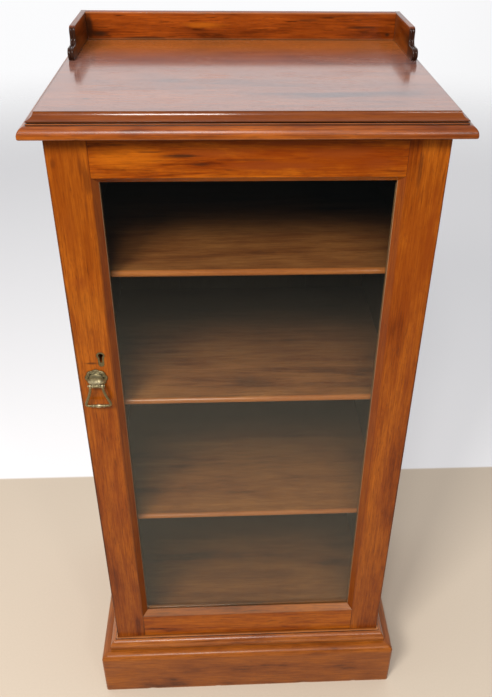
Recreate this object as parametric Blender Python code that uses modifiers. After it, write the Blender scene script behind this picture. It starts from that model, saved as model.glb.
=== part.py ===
"""Sheet music cabinet: a tall, narrow glazed cupboard of about 1900 in polished walnut.

The carcass is two sides that run down to the floor, a bottom board, three fixed shelves, two top rails and a back
of matched boards. A plinth with a bead moulding wraps its foot, and a cornice strip, a moulded top board and a low
gallery close its top. One glazed door covers the whole front. It turns on two butt hinges at its right edge and
carries a cast drop handle, a keyhole with its escutcheon, and a cupboard lock whose bolt slides into the left side.

Lengths are metres. X runs to the right, Y runs into the cabinet and Z runs up. The origin is on the floor, under
the middle of the whole piece. A projection or offset is measured outwards from the carcass's side faces, and at
the front from the door's face, because the mouldings stand out alike from both.
"""

import math

import bmesh
import bpy
from mathutils import Vector

# Fits that every piece shares
SEAT_GAP = 0.0003
PIN_CLEARANCE = 0.0001
CUT_OVERRUN = 0.002

# Carcass
CARCASS_WIDTH = 0.500
CARCASS_DEPTH = 0.3574
SIDE_THICKNESS = 0.018
HOUSING_DEPTH = 0.006
BOTTOM_BOARD_THICKNESS = 0.015
TOP_RAIL_THICKNESS = 0.018
TOP_RAIL_WIDTH = 0.070
BASE_RAIL_THICKNESS = 0.018
BASE_RAIL_HEIGHT = 0.090

# Shelves, each given by the height of its top above the floor
LOWER_SHELF_TOP = 0.428
MIDDLE_SHELF_TOP = 0.682
UPPER_SHELF_TOP = 0.907
SHELF_THICKNESS = 0.010
SHELF_SETBACK = 0.0055

# Back of tongued and grooved boards
BACK_THICKNESS = 0.009
BACK_REBATE_WIDTH = 0.010
BACK_BOARD_COUNT = 4
TONGUE_LENGTH = 0.005
TONGUE_THICKNESS = 0.003
BACK_CHAMFER = 0.0015

# Plinth and the bead moulding that lies on it
PLINTH_PROJECTION = 0.030
PLINTH_HEIGHT = 0.105
PLINTH_THICKNESS = 0.020
PLINTH_ARRIS_RADIUS = 0.012
BEAD_HEIGHT = 0.0212
BEAD_PROJECTION = 0.014
BEAD_FILLET_PROJECTION = 0.0028
BEAD_FILLET_HEIGHT = 0.0015
BEAD_ROUND_HEIGHT = 0.014
BLOCK_WIDTH = 0.040
BLOCK_LIFT = 0.015

# Cornice strip, moulded top board and the quirk between them
CORNICE_THICKNESS = 0.0171
CORNICE_PROJECTION = 0.024
CORNICE_NOSE_RADIUS = 0.0022
CORNICE_ROUND_START = 0.0036
CORNICE_ROUND_HEIGHT = 0.0112
CORNICE_FILLET_PROJECTION = 0.0138
TOP_BOARD_THICKNESS = 0.0115
TOP_BOARD_PROJECTION = 0.0135
TOP_ARRIS_PROJECTION = 0.0042
TOP_FILLET_HEIGHT = 0.0014
TOP_COVE_SAG = 0.0015
QUIRK_DEPTH = 0.0018
QUIRK_HEIGHT = 0.0009

# Gallery on the back of the top
GALLERY_HEIGHT = 0.0403
GALLERY_RAIL_THICKNESS = 0.015
GALLERY_SETBACK = 0.0005
GALLERY_END_INSET = 0.0035
GALLERY_END_THICKNESS = 0.0085
GALLERY_END_FOOT_LENGTH = 0.151
GALLERY_END_TOP_LENGTH = 0.119
LOWER_LOBE_RADIUS = 0.0085
UPPER_LOBE_RADIUS = 0.0075
LOBE_COVE_RADIUS = 0.008
GALLERY_EASING = 0.0012
REED_GROOVE_RADIUS = 0.0011

# Door
DOOR_THICKNESS = 0.020
DOOR_SEAM = 0.0006
DOOR_FOOT_CLEARANCE = 0.0016
DOOR_HEAD_CLEARANCE = 0.0018
DOOR_HEIGHT = 0.979
STILE_WIDTH = 0.0525
TOP_RAIL_FACE = 0.0538
BOTTOM_RAIL_FACE = 0.0585
STICKING_WIDTH = 0.0085
STICKING_DEPTH = 0.009
LIP_THICKNESS = 0.0105
REBATE_WIDTH = 0.006
DOOR_EASING = 0.0015
TENON_THICKNESS = 0.008
TENON_LENGTH = 0.035
TENON_SHOULDER = 0.009
GLASS_THICKNESS = 0.003
GLAZING_BEAD_WIDTH = 0.0055
GLAZING_BEAD_EASING = 0.0012

# Butt hinges
HINGE_LENGTH = 0.0635
HINGE_END_DISTANCE = 0.100
HINGE_PIN_OFFSET = 0.0032
HINGE_PIN_RADIUS = 0.0016
HINGE_KNUCKLE_RADIUS = 0.0028
HINGE_LEAF_WIDTH = 0.015
HINGE_LEAF_THICKNESS = 0.0014
HINGE_KNUCKLE_COUNT = 5

# Keyhole, escutcheon, lock and strike
KEYHOLE_RISE = 0.657
KEYHOLE_INSET = 0.0363
KEYHOLE_RADIUS = 0.0036
KEYHOLE_DROP = 0.0124
KEYHOLE_NECK = 0.0046
KEYHOLE_FOOT = 0.003
ESCUTCHEON_RADIUS = 0.0058
ESCUTCHEON_DROP = 0.0192
ESCUTCHEON_NECK = 0.0086
ESCUTCHEON_FOOT = 0.008
ESCUTCHEON_THICKNESS = 0.0016
LOCK_WIDTH = 0.035
LOCK_HEIGHT = 0.032
LOCK_DEPTH = 0.012
LOCK_SIDE_CLEARANCE = 0.001
LOCK_DROP = 0.0155
BOLT_LENGTH = 0.026
BOLT_HEIGHT = 0.009
BOLT_THICKNESS = 0.004
BOLT_RISE = 0.0047
BOLT_THROW = 0.008
BOLT_FACE_INSET = 0.0002
STRIKE_THICKNESS = 0.0012
STRIKE_WIDTH = 0.012
STRIKE_HEIGHT = 0.030

# Drop handle
HANDLE_INSET = 0.0265
HANDLE_PIN_RISE = 0.610
HANDLE_PIN_PROJECTION = 0.0095
HANDLE_PIN_RADIUS = 0.0015
HANDLE_PIN_HALF_LENGTH = 0.0112
HANDLE_PIN_HEAD_RADIUS = 0.0024
HANDLE_PIN_HEAD_LENGTH = 0.0012
PLATE_HALF_WIDTH = 0.0165
PLATE_HALF_HEIGHT = 0.015
PLATE_CENTRE_RISE = 0.0088
PLATE_THICKNESS = 0.0022
PLATE_EASING = 0.0006
PLATE_DOME_HALF_WIDTH = 0.0118
PLATE_DOME_HALF_HEIGHT = 0.0108
PLATE_DOME_DEPTH = 0.0052
CANOPY_HALF_WIDTH = 0.0125
CANOPY_HEIGHT = 0.0085
CANOPY_DEPTH = 0.0112
CANOPY_RISE = 0.0042
BARREL_RADIUS = 0.0031
BARREL_HALF_LENGTH = 0.0065
BARREL_NECK_HALF_WIDTH = 0.0050
BARREL_NECK_HALF_HEIGHT = 0.0026
BAIL_EYE_OFFSET = 0.0087
BAIL_EYE_RADIUS = 0.0032
BAIL_EYE_WIDTH = 0.003
BAIL_HALF_WIDTH = 0.0183
BAIL_DROP = 0.0368
BAIL_BAR_RADIUS = 0.0022
BAIL_SWELL_HALF_LENGTH = 0.0065
BAIL_SWELL_RADIUS = 0.003

# Shares of the bail's half width and drop through which each arm passes, from its eye to its lower corner
BAIL_ARM_SHARES = ((0.475, 0.055), (0.53, 0.24), (0.68, 0.48), (0.90, 0.74), (0.99, 0.90))
BAIL_CORNER_SHARE = 0.86
PLATE_SCALLOP_SHARE = 0.10
PLATE_SCALLOP_COUNT = 8

# Places worked out from the sizes above
OVERALL_DEPTH = PLINTH_PROJECTION + DOOR_THICKNESS + DOOR_SEAM + CARCASS_DEPTH
FRONT_Y = PLINTH_PROJECTION - OVERALL_DEPTH / 2
DOOR_BACK_Y = FRONT_Y + DOOR_THICKNESS
CARCASS_FRONT_Y = DOOR_BACK_Y + DOOR_SEAM
BACK_Y = CARCASS_FRONT_Y + CARCASS_DEPTH
HALF_WIDTH = CARCASS_WIDTH / 2
INNER_HALF_WIDTH = HALF_WIDTH - SIDE_THICKNESS

BEAD_BOTTOM_Z = PLINTH_HEIGHT + SEAT_GAP
BEAD_TOP_Z = BEAD_BOTTOM_Z + BEAD_HEIGHT
DOOR_BOTTOM_Z = BEAD_TOP_Z + DOOR_FOOT_CLEARANCE
DOOR_TOP_Z = DOOR_BOTTOM_Z + DOOR_HEIGHT
CORNICE_BOTTOM_Z = DOOR_TOP_Z + DOOR_HEAD_CLEARANCE
CORNICE_TOP_Z = CORNICE_BOTTOM_Z + CORNICE_THICKNESS
TOP_BOARD_BOTTOM_Z = CORNICE_TOP_Z + SEAT_GAP
TOP_BOARD_TOP_Z = TOP_BOARD_BOTTOM_Z + TOP_BOARD_THICKNESS
GALLERY_BOTTOM_Z = TOP_BOARD_TOP_Z + SEAT_GAP
GALLERY_TOP_Z = GALLERY_BOTTOM_Z + GALLERY_HEIGHT
GALLERY_OUTER_HALF_WIDTH = HALF_WIDTH + TOP_ARRIS_PROJECTION - GALLERY_END_INSET

ARRIS_HALF_WIDTH = HALF_WIDTH - STILE_WIDTH
ARRIS_BOTTOM_Z = DOOR_BOTTOM_Z + BOTTOM_RAIL_FACE
ARRIS_TOP_Z = DOOR_TOP_Z - TOP_RAIL_FACE
SIGHT_HALF_WIDTH = ARRIS_HALF_WIDTH - STICKING_WIDTH
SIGHT_BOTTOM_Z = ARRIS_BOTTOM_Z + STICKING_WIDTH
SIGHT_TOP_Z = ARRIS_TOP_Z - STICKING_WIDTH
REBATE_HALF_WIDTH = SIGHT_HALF_WIDTH + REBATE_WIDTH
REBATE_BOTTOM_Z = SIGHT_BOTTOM_Z - REBATE_WIDTH
REBATE_TOP_Z = SIGHT_TOP_Z + REBATE_WIDTH

KEYHOLE_X = KEYHOLE_INSET - HALF_WIDTH
KEYHOLE_Z = DOOR_BOTTOM_Z + KEYHOLE_RISE
HANDLE_X = HANDLE_INSET - HALF_WIDTH
HANDLE_PIN_Y = FRONT_Y - HANDLE_PIN_PROJECTION
HANDLE_PIN_Z = DOOR_BOTTOM_Z + HANDLE_PIN_RISE
HINGE_X = HALF_WIDTH + HINGE_PIN_OFFSET
HINGE_Y = DOOR_BACK_Y + DOOR_SEAM / 2

BOLT_MIDDLE_Z = KEYHOLE_Z + BOLT_RISE + BOLT_HEIGHT / 2
LOCK_LEFT_X = LOCK_SIDE_CLEARANCE - INNER_HALF_WIDTH
LOCK_FRONT_Y = DOOR_BACK_Y + SEAT_GAP
BOLT_MIDDLE_Y = LOCK_FRONT_Y + LOCK_DEPTH / 2

# Turns that lay an outline's own X, Y and Z along the cabinet's axes
RUN_ALONG_X = (math.pi / 2, 0, math.pi / 2)
RUN_ALONG_Y = (math.pi / 2, 0, 0)
RUN_ALONG_Z = (0, 0, 0)

FINISHES = {
    "door_walnut": ((0.40, 0.19, 0.07), 0.28, 0.0),
    "moulding_walnut": ((0.30, 0.13, 0.06), 0.26, 0.0),
    "gallery_walnut": ((0.22, 0.08, 0.04), 0.28, 0.0),
    "inner_walnut": ((0.22, 0.13, 0.08), 0.55, 0.0),
    "softwood": ((0.52, 0.38, 0.22), 0.75, 0.0),
    "brass": ((0.42, 0.36, 0.20), 0.38, 1.0),
    "steel": ((0.38, 0.38, 0.38), 0.35, 1.0),
    "glass": ((0.80, 0.84, 0.82), 0.05, 0.0),
}


def start_scene():
    """Empties the scene and makes one collection for the cabinet's pieces and one for the cutters."""
    for obj in list(bpy.data.objects):
        bpy.data.objects.remove(obj, do_unlink=True)
    for name in ("sheet_music_cabinet", "cutters"):
        if name not in bpy.data.collections:
            bpy.context.scene.collection.children.link(bpy.data.collections.new(name))


def add_object(name, mesh, location, rotation=RUN_ALONG_Z):
    """Puts a mesh in the cabinet's collection as an object with the given place and turn."""
    obj = bpy.data.objects.new(name, mesh)
    obj.location = location
    obj.rotation_euler = rotation
    bpy.data.collections["sheet_music_cabinet"].objects.link(obj)
    return obj


def finish(obj, finish_name):
    """Gives an object its own Principled material in one of the cabinet's finishes."""
    colour, roughness, metallic = FINISHES[finish_name]
    material = bpy.data.materials.new(f"{obj.name}_{finish_name}")
    material.use_nodes = True
    shader = material.node_tree.nodes["Principled BSDF"]
    shader.inputs["Base Color"].default_value = (*colour, 1.0)
    shader.inputs["Roughness"].default_value = roughness
    shader.inputs["Metallic"].default_value = metallic
    material.diffuse_color = (*colour, 1.0)
    obj.data.materials.clear()
    obj.data.materials.append(material)
    return obj


def hide_tool(obj):
    """Moves an object to the cutters, where it only shapes other objects."""
    bpy.data.collections["sheet_music_cabinet"].objects.unlink(obj)
    bpy.data.collections["cutters"].objects.link(obj)
    obj.hide_render = True
    obj.display_type = "WIRE"
    return obj


def make_cutter(obj):
    """Hides a tool and shades it flat, so that the edges it cuts stay crisp."""
    obj.data.shade_flat()
    return hide_tool(obj)


def boolean(target, tool, operation):
    """Adds a Boolean modifier that cuts the tool away from the target, joins it on, or keeps what both share."""
    modifier = target.modifiers.new(f"{operation.lower()} {tool.name}", "BOOLEAN")
    modifier.operation = operation
    modifier.solver = "EXACT"
    modifier.object = tool
    return target


def cut(target, *tools):
    """Cuts every tool away from the target."""
    for tool in tools:
        boolean(target, tool, "DIFFERENCE")
    return target


def join(target, *tools):
    """Joins solids that overlap the target onto it, and keeps them as its hidden tools."""
    for tool in tools:
        boolean(target, hide_tool(tool), "UNION")
    return target


def ease(target, width, segments=2, limit=math.radians(40)):
    """Rounds the sharp edges of a solid."""
    modifier = target.modifiers.new("eased arrises", "BEVEL")
    modifier.width = width
    modifier.segments = segments
    modifier.limit_method = "ANGLE"
    modifier.angle_limit = limit
    modifier.use_clamp_overlap = True
    return target


def box(name, low, high):
    """A box between its lowest and highest corners."""
    low, high = Vector(low), Vector(high)
    size = high - low
    mesh = bpy.data.meshes.new(name)
    shape = bmesh.new()
    bmesh.ops.create_cube(shape, size=1.0)
    bmesh.ops.scale(shape, vec=size, verts=shape.verts)
    shape.to_mesh(mesh)
    shape.free()
    return add_object(name, mesh, (low + high) / 2)


def rod(name, centre, radius, length, rotation, sides=32):
    """A cylinder whose axis is the turned Z axis."""
    mesh = bpy.data.meshes.new(name)
    shape = bmesh.new()
    bmesh.ops.create_cone(shape, cap_ends=True, segments=sides, radius1=radius, radius2=radius, depth=length)
    shape.to_mesh(mesh)
    shape.free()
    mesh.shade_smooth()
    mesh.set_sharp_from_angle(angle=math.radians(40))
    return add_object(name, mesh, centre, rotation)


def ellipsoid(name, centre, half_sizes, rings=12):
    """A sphere stretched to three half sizes."""
    mesh = bpy.data.meshes.new(name)
    shape = bmesh.new()
    bmesh.ops.create_uvsphere(shape, u_segments=rings * 2, v_segments=rings, radius=1.0)
    bmesh.ops.scale(shape, vec=half_sizes, verts=shape.verts)
    shape.to_mesh(mesh)
    shape.free()
    mesh.shade_smooth()
    return add_object(name, mesh, centre)


def mesh_from_curve(name, curve, location, rotation):
    """Turns a curve into a closed mesh object, with the loose edges of its caps welded."""
    guide = bpy.data.objects.new(name + "_guide", curve)
    guide.location = location
    guide.rotation_euler = rotation
    bpy.data.collections["sheet_music_cabinet"].objects.link(guide)
    graph = bpy.context.evaluated_depsgraph_get()
    mesh = bpy.data.meshes.new_from_object(guide.evaluated_get(graph))
    mesh.name = name
    place = guide.matrix_world.copy()
    bpy.data.objects.remove(guide, do_unlink=True)
    shape = bmesh.new()
    shape.from_mesh(mesh)
    bmesh.ops.remove_doubles(shape, verts=shape.verts, dist=SEAT_GAP / 100)
    bmesh.ops.recalc_face_normals(shape, faces=shape.faces)
    shape.to_mesh(mesh)
    shape.free()
    obj = add_object(name, mesh, location, rotation)
    obj.matrix_world = place
    return obj


def prism(name, outline, start, end, rotation):
    """A flat outline carried from start to end along the run that the rotation gives it.

    The outline's points are in the cabinet's own axes: Y and Z for a run along X, X and Z for a run along Y, and X
    and Y for a run along Z.
    """
    middle_u = (min(p[0] for p in outline) + max(p[0] for p in outline)) / 2
    middle_v = (min(p[1] for p in outline) + max(p[1] for p in outline)) / 2
    middle_run = (start + end) / 2
    if rotation == RUN_ALONG_X:
        location = (middle_run, middle_u, middle_v)
    elif rotation == RUN_ALONG_Y:
        location = (middle_u, middle_run, middle_v)
    else:
        location = (middle_u, middle_v, middle_run)
    curve = bpy.data.curves.new(name, "CURVE")
    curve.dimensions = "2D"
    curve.fill_mode = "BOTH"
    curve.extrude = abs(end - start) / 2
    spline = curve.splines.new("POLY")
    spline.points.add(len(outline) - 1)
    for point, (u, v) in zip(spline.points, outline):
        point.co = (u - middle_u, v - middle_v, 0, 1)
    spline.use_cyclic_u = True
    obj = mesh_from_curve(name, curve, location, rotation)
    obj.data.shade_smooth()
    obj.data.set_sharp_from_angle(angle=math.radians(25))
    return obj


def loft(name, rings):
    """A closed skin through sections with the same number of corners, with its first and last filled."""
    low = Vector([min(point[axis] for ring in rings for point in ring) for axis in range(3)])
    high = Vector([max(point[axis] for ring in rings for point in ring) for axis in range(3)])
    middle = (low + high) / 2
    mesh = bpy.data.meshes.new(name)
    shape = bmesh.new()
    loops = [[shape.verts.new(Vector(point) - middle) for point in ring] for ring in rings]
    for lower, upper in zip(loops, loops[1:]):
        for index in range(len(lower)):
            following = (index + 1) % len(lower)
            shape.faces.new((lower[index], lower[following], upper[following], upper[index]))
    shape.faces.new(loops[0])
    shape.faces.new(loops[-1])
    bmesh.ops.recalc_face_normals(shape, faces=shape.faces)
    shape.to_mesh(mesh)
    shape.free()
    mesh.shade_smooth()
    mesh.set_sharp_from_angle(angle=math.radians(25))
    return add_object(name, mesh, middle)


def tube(name, path, radius, location, rotation, steps=4, kind="BEZIER"):
    """A round bar along a path of points in the curve's own X and Y."""
    curve = bpy.data.curves.new(name, "CURVE")
    curve.dimensions = "3D"
    curve.bevel_depth = radius
    curve.bevel_resolution = 2
    curve.use_fill_caps = True
    curve.resolution_u = steps
    spline = curve.splines.new(kind)
    if kind == "BEZIER":
        spline.bezier_points.add(len(path) - 1)
        for point, (u, v) in zip(spline.bezier_points, path):
            point.co = (u, v, 0)
            point.handle_left_type = "AUTO"
            point.handle_right_type = "AUTO"
    else:
        spline.points.add(len(path) - 1)
        for point, (u, v) in zip(spline.points, path):
            point.co = (u, v, 0, 1)
    obj = mesh_from_curve(name, curve, location, rotation)
    obj.data.shade_smooth()
    obj.data.set_sharp_from_angle(angle=math.radians(50))
    return obj


def arc(centre, radii, start, end, steps):
    """Points on an ellipse about a centre, from one angle to another in degrees."""
    points = []
    for step in range(steps + 1):
        angle = math.radians(start + (end - start) * step / steps)
        points.append((centre[0] + radii[0] * math.cos(angle), centre[1] + radii[1] * math.sin(angle)))
    return points


def sagged_line(start, end, sag, steps):
    """Points from start to end on a parabola that hangs off the straight line by the sag, to its left."""
    along = Vector(end) - Vector(start)
    aside = Vector((-along.y, along.x)).normalized()
    points = []
    for step in range(steps + 1):
        share = step / steps
        point = Vector(start) + along * share + aside * (sag * 4 * share * (1 - share))
        points.append((point.x, point.y))
    return points


def corner_cutters():
    """Plan cutters that mitre the front pieces and the side pieces at both front corners.

    A front piece ends square where it lies behind the door's face and runs out to the mitre in front of it. A side
    piece stops at the same mitre, a seat gap behind it.
    """
    reach = PLINTH_PROJECTION + CUT_OVERRUN
    beyond = 2 * reach
    step_back = SEAT_GAP * math.sqrt(2)
    tall = GALLERY_TOP_Z + CUT_OVERRUN
    cutters = {}
    for side, sign in (("left", -1), ("right", 1)):
        front_outline = [
            (sign * HALF_WIDTH, FRONT_Y),
            (sign * (HALF_WIDTH + beyond), FRONT_Y - beyond),
            (sign * (HALF_WIDTH + beyond), BACK_Y + CUT_OVERRUN),
            (sign * HALF_WIDTH, BACK_Y + CUT_OVERRUN),
        ]
        side_outline = [
            (sign * (HALF_WIDTH - reach), FRONT_Y + reach + step_back),
            (sign * (HALF_WIDTH + beyond), FRONT_Y - beyond + step_back),
            (sign * (HALF_WIDTH - reach), FRONT_Y - beyond + step_back),
        ]
        for kind, outline in (("front", front_outline), ("side", side_outline)):
            name = f"cut_{kind}_piece_mitre_{side}"
            cutters[kind, side] = make_cutter(prism(name, outline, -CUT_OVERRUN, tall, RUN_ALONG_Z))
    return cutters


def wrap_moulding(name, front_profile, side_profile, mitres, finish_name):
    """Carries a profile of (projection, height) points round the front and both sides, as three mitred pieces."""
    reach = PLINTH_PROJECTION + CUT_OVERRUN
    outline = [(FRONT_Y - projection, height) for projection, height in front_profile]
    front = prism(f"{name}_front", outline, -HALF_WIDTH - reach, HALF_WIDTH + reach, RUN_ALONG_X)
    finish(cut(front, mitres["front", "left"], mitres["front", "right"]), finish_name)
    for side, sign in (("left", -1), ("right", 1)):
        outline = [(sign * (HALF_WIDTH + projection), height) for projection, height in side_profile]
        piece = prism(f"{name}_{side}", outline, FRONT_Y - reach, BACK_Y, RUN_ALONG_Y)
        finish(cut(piece, mitres["side", side]), finish_name)


def plinth_profile():
    """Plinth board: a plain face with a rounded top arris."""
    radius = PLINTH_ARRIS_RADIUS
    centre = (PLINTH_PROJECTION - radius, PLINTH_HEIGHT - radius)
    inner = PLINTH_PROJECTION - PLINTH_THICKNESS
    return [(inner, 0), (PLINTH_PROJECTION, 0)] + arc(centre, (radius, radius), 0, 90, 6) + [(inner, PLINTH_HEIGHT)]


def bead_profile(inner):
    """Bead moulding on the plinth: a round that turns under at its foot, and a small fillet on its top."""
    round_base = BEAD_HEIGHT - BEAD_FILLET_HEIGHT - BEAD_ROUND_HEIGHT
    across = BEAD_PROJECTION - BEAD_FILLET_PROJECTION
    centre = (BEAD_FILLET_PROJECTION, BEAD_BOTTOM_Z + round_base)
    foot_angle = -math.degrees(math.asin(round_base / BEAD_ROUND_HEIGHT))
    outline = [(inner, BEAD_BOTTOM_Z)]
    outline += arc(centre, (across, BEAD_ROUND_HEIGHT), foot_angle, 90, 12)
    outline += [(BEAD_FILLET_PROJECTION, BEAD_TOP_Z), (inner, BEAD_TOP_Z)]
    return outline


def cornice_profile(inner):
    """Cornice strip under the top board: flat below, a rounded nose, a large round and a fillet."""
    nose = CORNICE_NOSE_RADIUS
    across = CORNICE_PROJECTION - CORNICE_FILLET_PROJECTION
    nose_centre = (CORNICE_PROJECTION - nose, CORNICE_BOTTOM_Z + nose)
    round_centre = (CORNICE_FILLET_PROJECTION, CORNICE_BOTTOM_Z + CORNICE_ROUND_START)
    outline = [(inner, CORNICE_BOTTOM_Z)]
    outline += arc(nose_centre, (nose, nose), -90, 0, 5)
    outline += arc(round_centre, (across, CORNICE_ROUND_HEIGHT), 0, 90, 10)
    outline += [(CORNICE_FILLET_PROJECTION, CORNICE_TOP_Z), (inner, CORNICE_TOP_Z)]
    return outline


def top_edge_profile():
    """Edge of the top board: a quirk at its foot, a fillet, and a shallow cove up to the top arris."""
    quirk_projection = TOP_BOARD_PROJECTION - QUIRK_DEPTH
    quirk_top = TOP_BOARD_BOTTOM_Z + QUIRK_HEIGHT
    fillet_top = quirk_top + TOP_FILLET_HEIGHT
    cove = sagged_line((TOP_BOARD_PROJECTION, fillet_top), (TOP_ARRIS_PROJECTION, TOP_BOARD_TOP_Z), TOP_COVE_SAG, 8)
    return [(quirk_projection, TOP_BOARD_BOTTOM_Z), (quirk_projection, quirk_top), (TOP_BOARD_PROJECTION, quirk_top)] + cove


def build_top_board():
    """Top board: lofted up through its edge profile, which is worked on the front and both ends alone."""
    rings = []
    for projection, height in top_edge_profile():
        reach = HALF_WIDTH + projection
        front = FRONT_Y - projection
        rings.append([(-reach, front, height), (reach, front, height), (reach, BACK_Y, height), (-reach, BACK_Y, height)])
    return finish(loft("top_board", rings), "moulding_walnut")


def housing_cutter(name, low_y, high_y, low_z, high_z):
    """Housing for a board that runs between the sides, cut in both sides at once."""
    half = INNER_HALF_WIDTH + HOUSING_DEPTH + SEAT_GAP
    low = (-half, low_y - SEAT_GAP, low_z - SEAT_GAP)
    return make_cutter(box(name, low, (half, high_y, high_z + SEAT_GAP)))


def build_carcass():
    """Sides, bottom board, shelves, rails and back, with the housings and recesses that seat them."""
    back_inner_y = BACK_Y - BACK_THICKNESS - SEAT_GAP
    half = INNER_HALF_WIDTH + HOUSING_DEPTH
    sides = {}
    for side, sign in (("left", -1), ("right", 1)):
        low_x, high_x = sorted((sign * INNER_HALF_WIDTH, sign * HALF_WIDTH))
        sides[side] = box(f"side_{side}", (low_x, CARCASS_FRONT_Y, 0), (high_x, BACK_Y, CORNICE_TOP_Z))

    cutters = []
    bottom_top_z = BEAD_TOP_Z + BOTTOM_BOARD_THICKNESS
    finish(box("bottom_board", (-half, CARCASS_FRONT_Y + SEAT_GAP, BEAD_TOP_Z), (half, back_inner_y, bottom_top_z)),
           "inner_walnut")
    cutters.append(housing_cutter("cut_bottom_board_housing", CARCASS_FRONT_Y - CUT_OVERRUN, back_inner_y + SEAT_GAP,
                                  BEAD_TOP_Z, bottom_top_z))

    shelf_front_y = CARCASS_FRONT_Y + SHELF_SETBACK
    nose = SHELF_THICKNESS / 2
    for name, top_z in (("lower", LOWER_SHELF_TOP), ("middle", MIDDLE_SHELF_TOP), ("upper", UPPER_SHELF_TOP)):
        low_z = top_z - SHELF_THICKNESS
        outline = [(back_inner_y, low_z), (back_inner_y, top_z)]
        outline += arc((shelf_front_y + nose, low_z + nose), (nose, nose), 90, 270, 10)
        finish(prism(f"shelf_{name}", outline, -half, half, RUN_ALONG_X), "inner_walnut")
        cutters.append(housing_cutter(f"cut_{name}_shelf_housing", shelf_front_y, back_inner_y + SEAT_GAP, low_z, top_z))

    rail_low_z = CORNICE_TOP_Z - TOP_RAIL_THICKNESS
    front_rail_y = CARCASS_FRONT_Y + SEAT_GAP
    for name, low_y, high_y in (("front", front_rail_y, front_rail_y + TOP_RAIL_WIDTH),
                                ("back", back_inner_y - TOP_RAIL_WIDTH, back_inner_y)):
        finish(box(f"top_rail_{name}", (-half, low_y, rail_low_z), (half, high_y, CORNICE_TOP_Z)), "inner_walnut")
        cutters.append(housing_cutter(f"cut_top_rail_{name}_housing", low_y, high_y + SEAT_GAP, rail_low_z,
                                      CORNICE_TOP_Z + CUT_OVERRUN))

    base_rail_top_z = BEAD_TOP_Z - SEAT_GAP
    base_half = INNER_HALF_WIDTH - SEAT_GAP
    finish(box("base_rail", (-base_half, CARCASS_FRONT_Y, base_rail_top_z - BASE_RAIL_HEIGHT),
               (base_half, CARCASS_FRONT_Y + BASE_RAIL_THICKNESS, base_rail_top_z)), "softwood")

    rebate_half = HALF_WIDTH - SIDE_THICKNESS + BACK_REBATE_WIDTH
    cutters.append(make_cutter(box("cut_back_rebate", (-rebate_half, back_inner_y, BEAD_TOP_Z - SEAT_GAP),
                                   (rebate_half, BACK_Y + CUT_OVERRUN, CORNICE_TOP_Z + CUT_OVERRUN))))
    for side in sides.values():
        finish(cut(side, *cutters), "moulding_walnut")
    return sides


def build_back():
    """Back of upright boards, tongued into one another, with a V joint on the outer face."""
    span = 2 * (HALF_WIDTH - SIDE_THICKNESS + BACK_REBATE_WIDTH - SEAT_GAP)
    pitch = span / BACK_BOARD_COUNT
    inner_y = BACK_Y - BACK_THICKNESS
    tongue_low = inner_y + (BACK_THICKNESS - TONGUE_THICKNESS) / 2
    tongue_high = tongue_low + TONGUE_THICKNESS
    for index in range(BACK_BOARD_COUNT):
        left = index * pitch - span / 2
        right = left + pitch
        is_first = index == 0
        is_last = index == BACK_BOARD_COUNT - 1
        left_face = left if is_first else left + SEAT_GAP
        outline = [(left_face, inner_y), (right, inner_y)]
        if not is_last:
            outline += [(right, tongue_low), (right + TONGUE_LENGTH, tongue_low),
                        (right + TONGUE_LENGTH, tongue_high), (right, tongue_high)]
            outline += [(right, BACK_Y - BACK_CHAMFER), (right - BACK_CHAMFER, BACK_Y)]
        else:
            outline += [(right, BACK_Y)]
        if is_first:
            outline += [(left_face, BACK_Y)]
        else:
            groove = left_face + TONGUE_LENGTH
            outline += [(left_face + BACK_CHAMFER, BACK_Y), (left_face, BACK_Y - BACK_CHAMFER)]
            outline += [(left_face, tongue_high + SEAT_GAP), (groove, tongue_high + SEAT_GAP),
                        (groove, tongue_low - SEAT_GAP), (left_face, tongue_low - SEAT_GAP)]
        board = prism(f"back_board_{index + 1}", outline, BEAD_TOP_Z, CORNICE_TOP_Z, RUN_ALONG_Z)
        finish(board, "softwood")


def build_plinth(mitres):
    """Plinth boards and bead moulding, with the packing and glue blocks that hold them off the carcass."""
    profile = plinth_profile()
    wrap_moulding("plinth", profile, profile, mitres, "moulding_walnut")
    inner_front = -(DOOR_THICKNESS + DOOR_SEAM - SEAT_GAP)
    wrap_moulding("plinth_bead", bead_profile(inner_front), bead_profile(SEAT_GAP), mitres, "moulding_walnut")

    packing_outer = PLINTH_PROJECTION - PLINTH_THICKNESS - SEAT_GAP
    for side, sign in (("left", -1), ("right", 1)):
        low_x, high_x = sorted((sign * (HALF_WIDTH + SEAT_GAP), sign * (HALF_WIDTH + packing_outer)))
        finish(box(f"plinth_packing_{side}", (low_x, CARCASS_FRONT_Y, BLOCK_LIFT), (high_x, BACK_Y, PLINTH_HEIGHT)),
               "softwood")

    block_low_y = FRONT_Y - packing_outer
    block_high_y = CARCASS_FRONT_Y - SEAT_GAP
    outer = HALF_WIDTH - BLOCK_WIDTH / 2
    for name, middle in (("left", -outer), ("centre", 0), ("right", outer)):
        finish(box(f"glue_block_{name}", (middle - BLOCK_WIDTH / 2, block_low_y, BLOCK_LIFT),
                   (middle + BLOCK_WIDTH / 2, block_high_y, PLINTH_HEIGHT)), "softwood")


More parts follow.
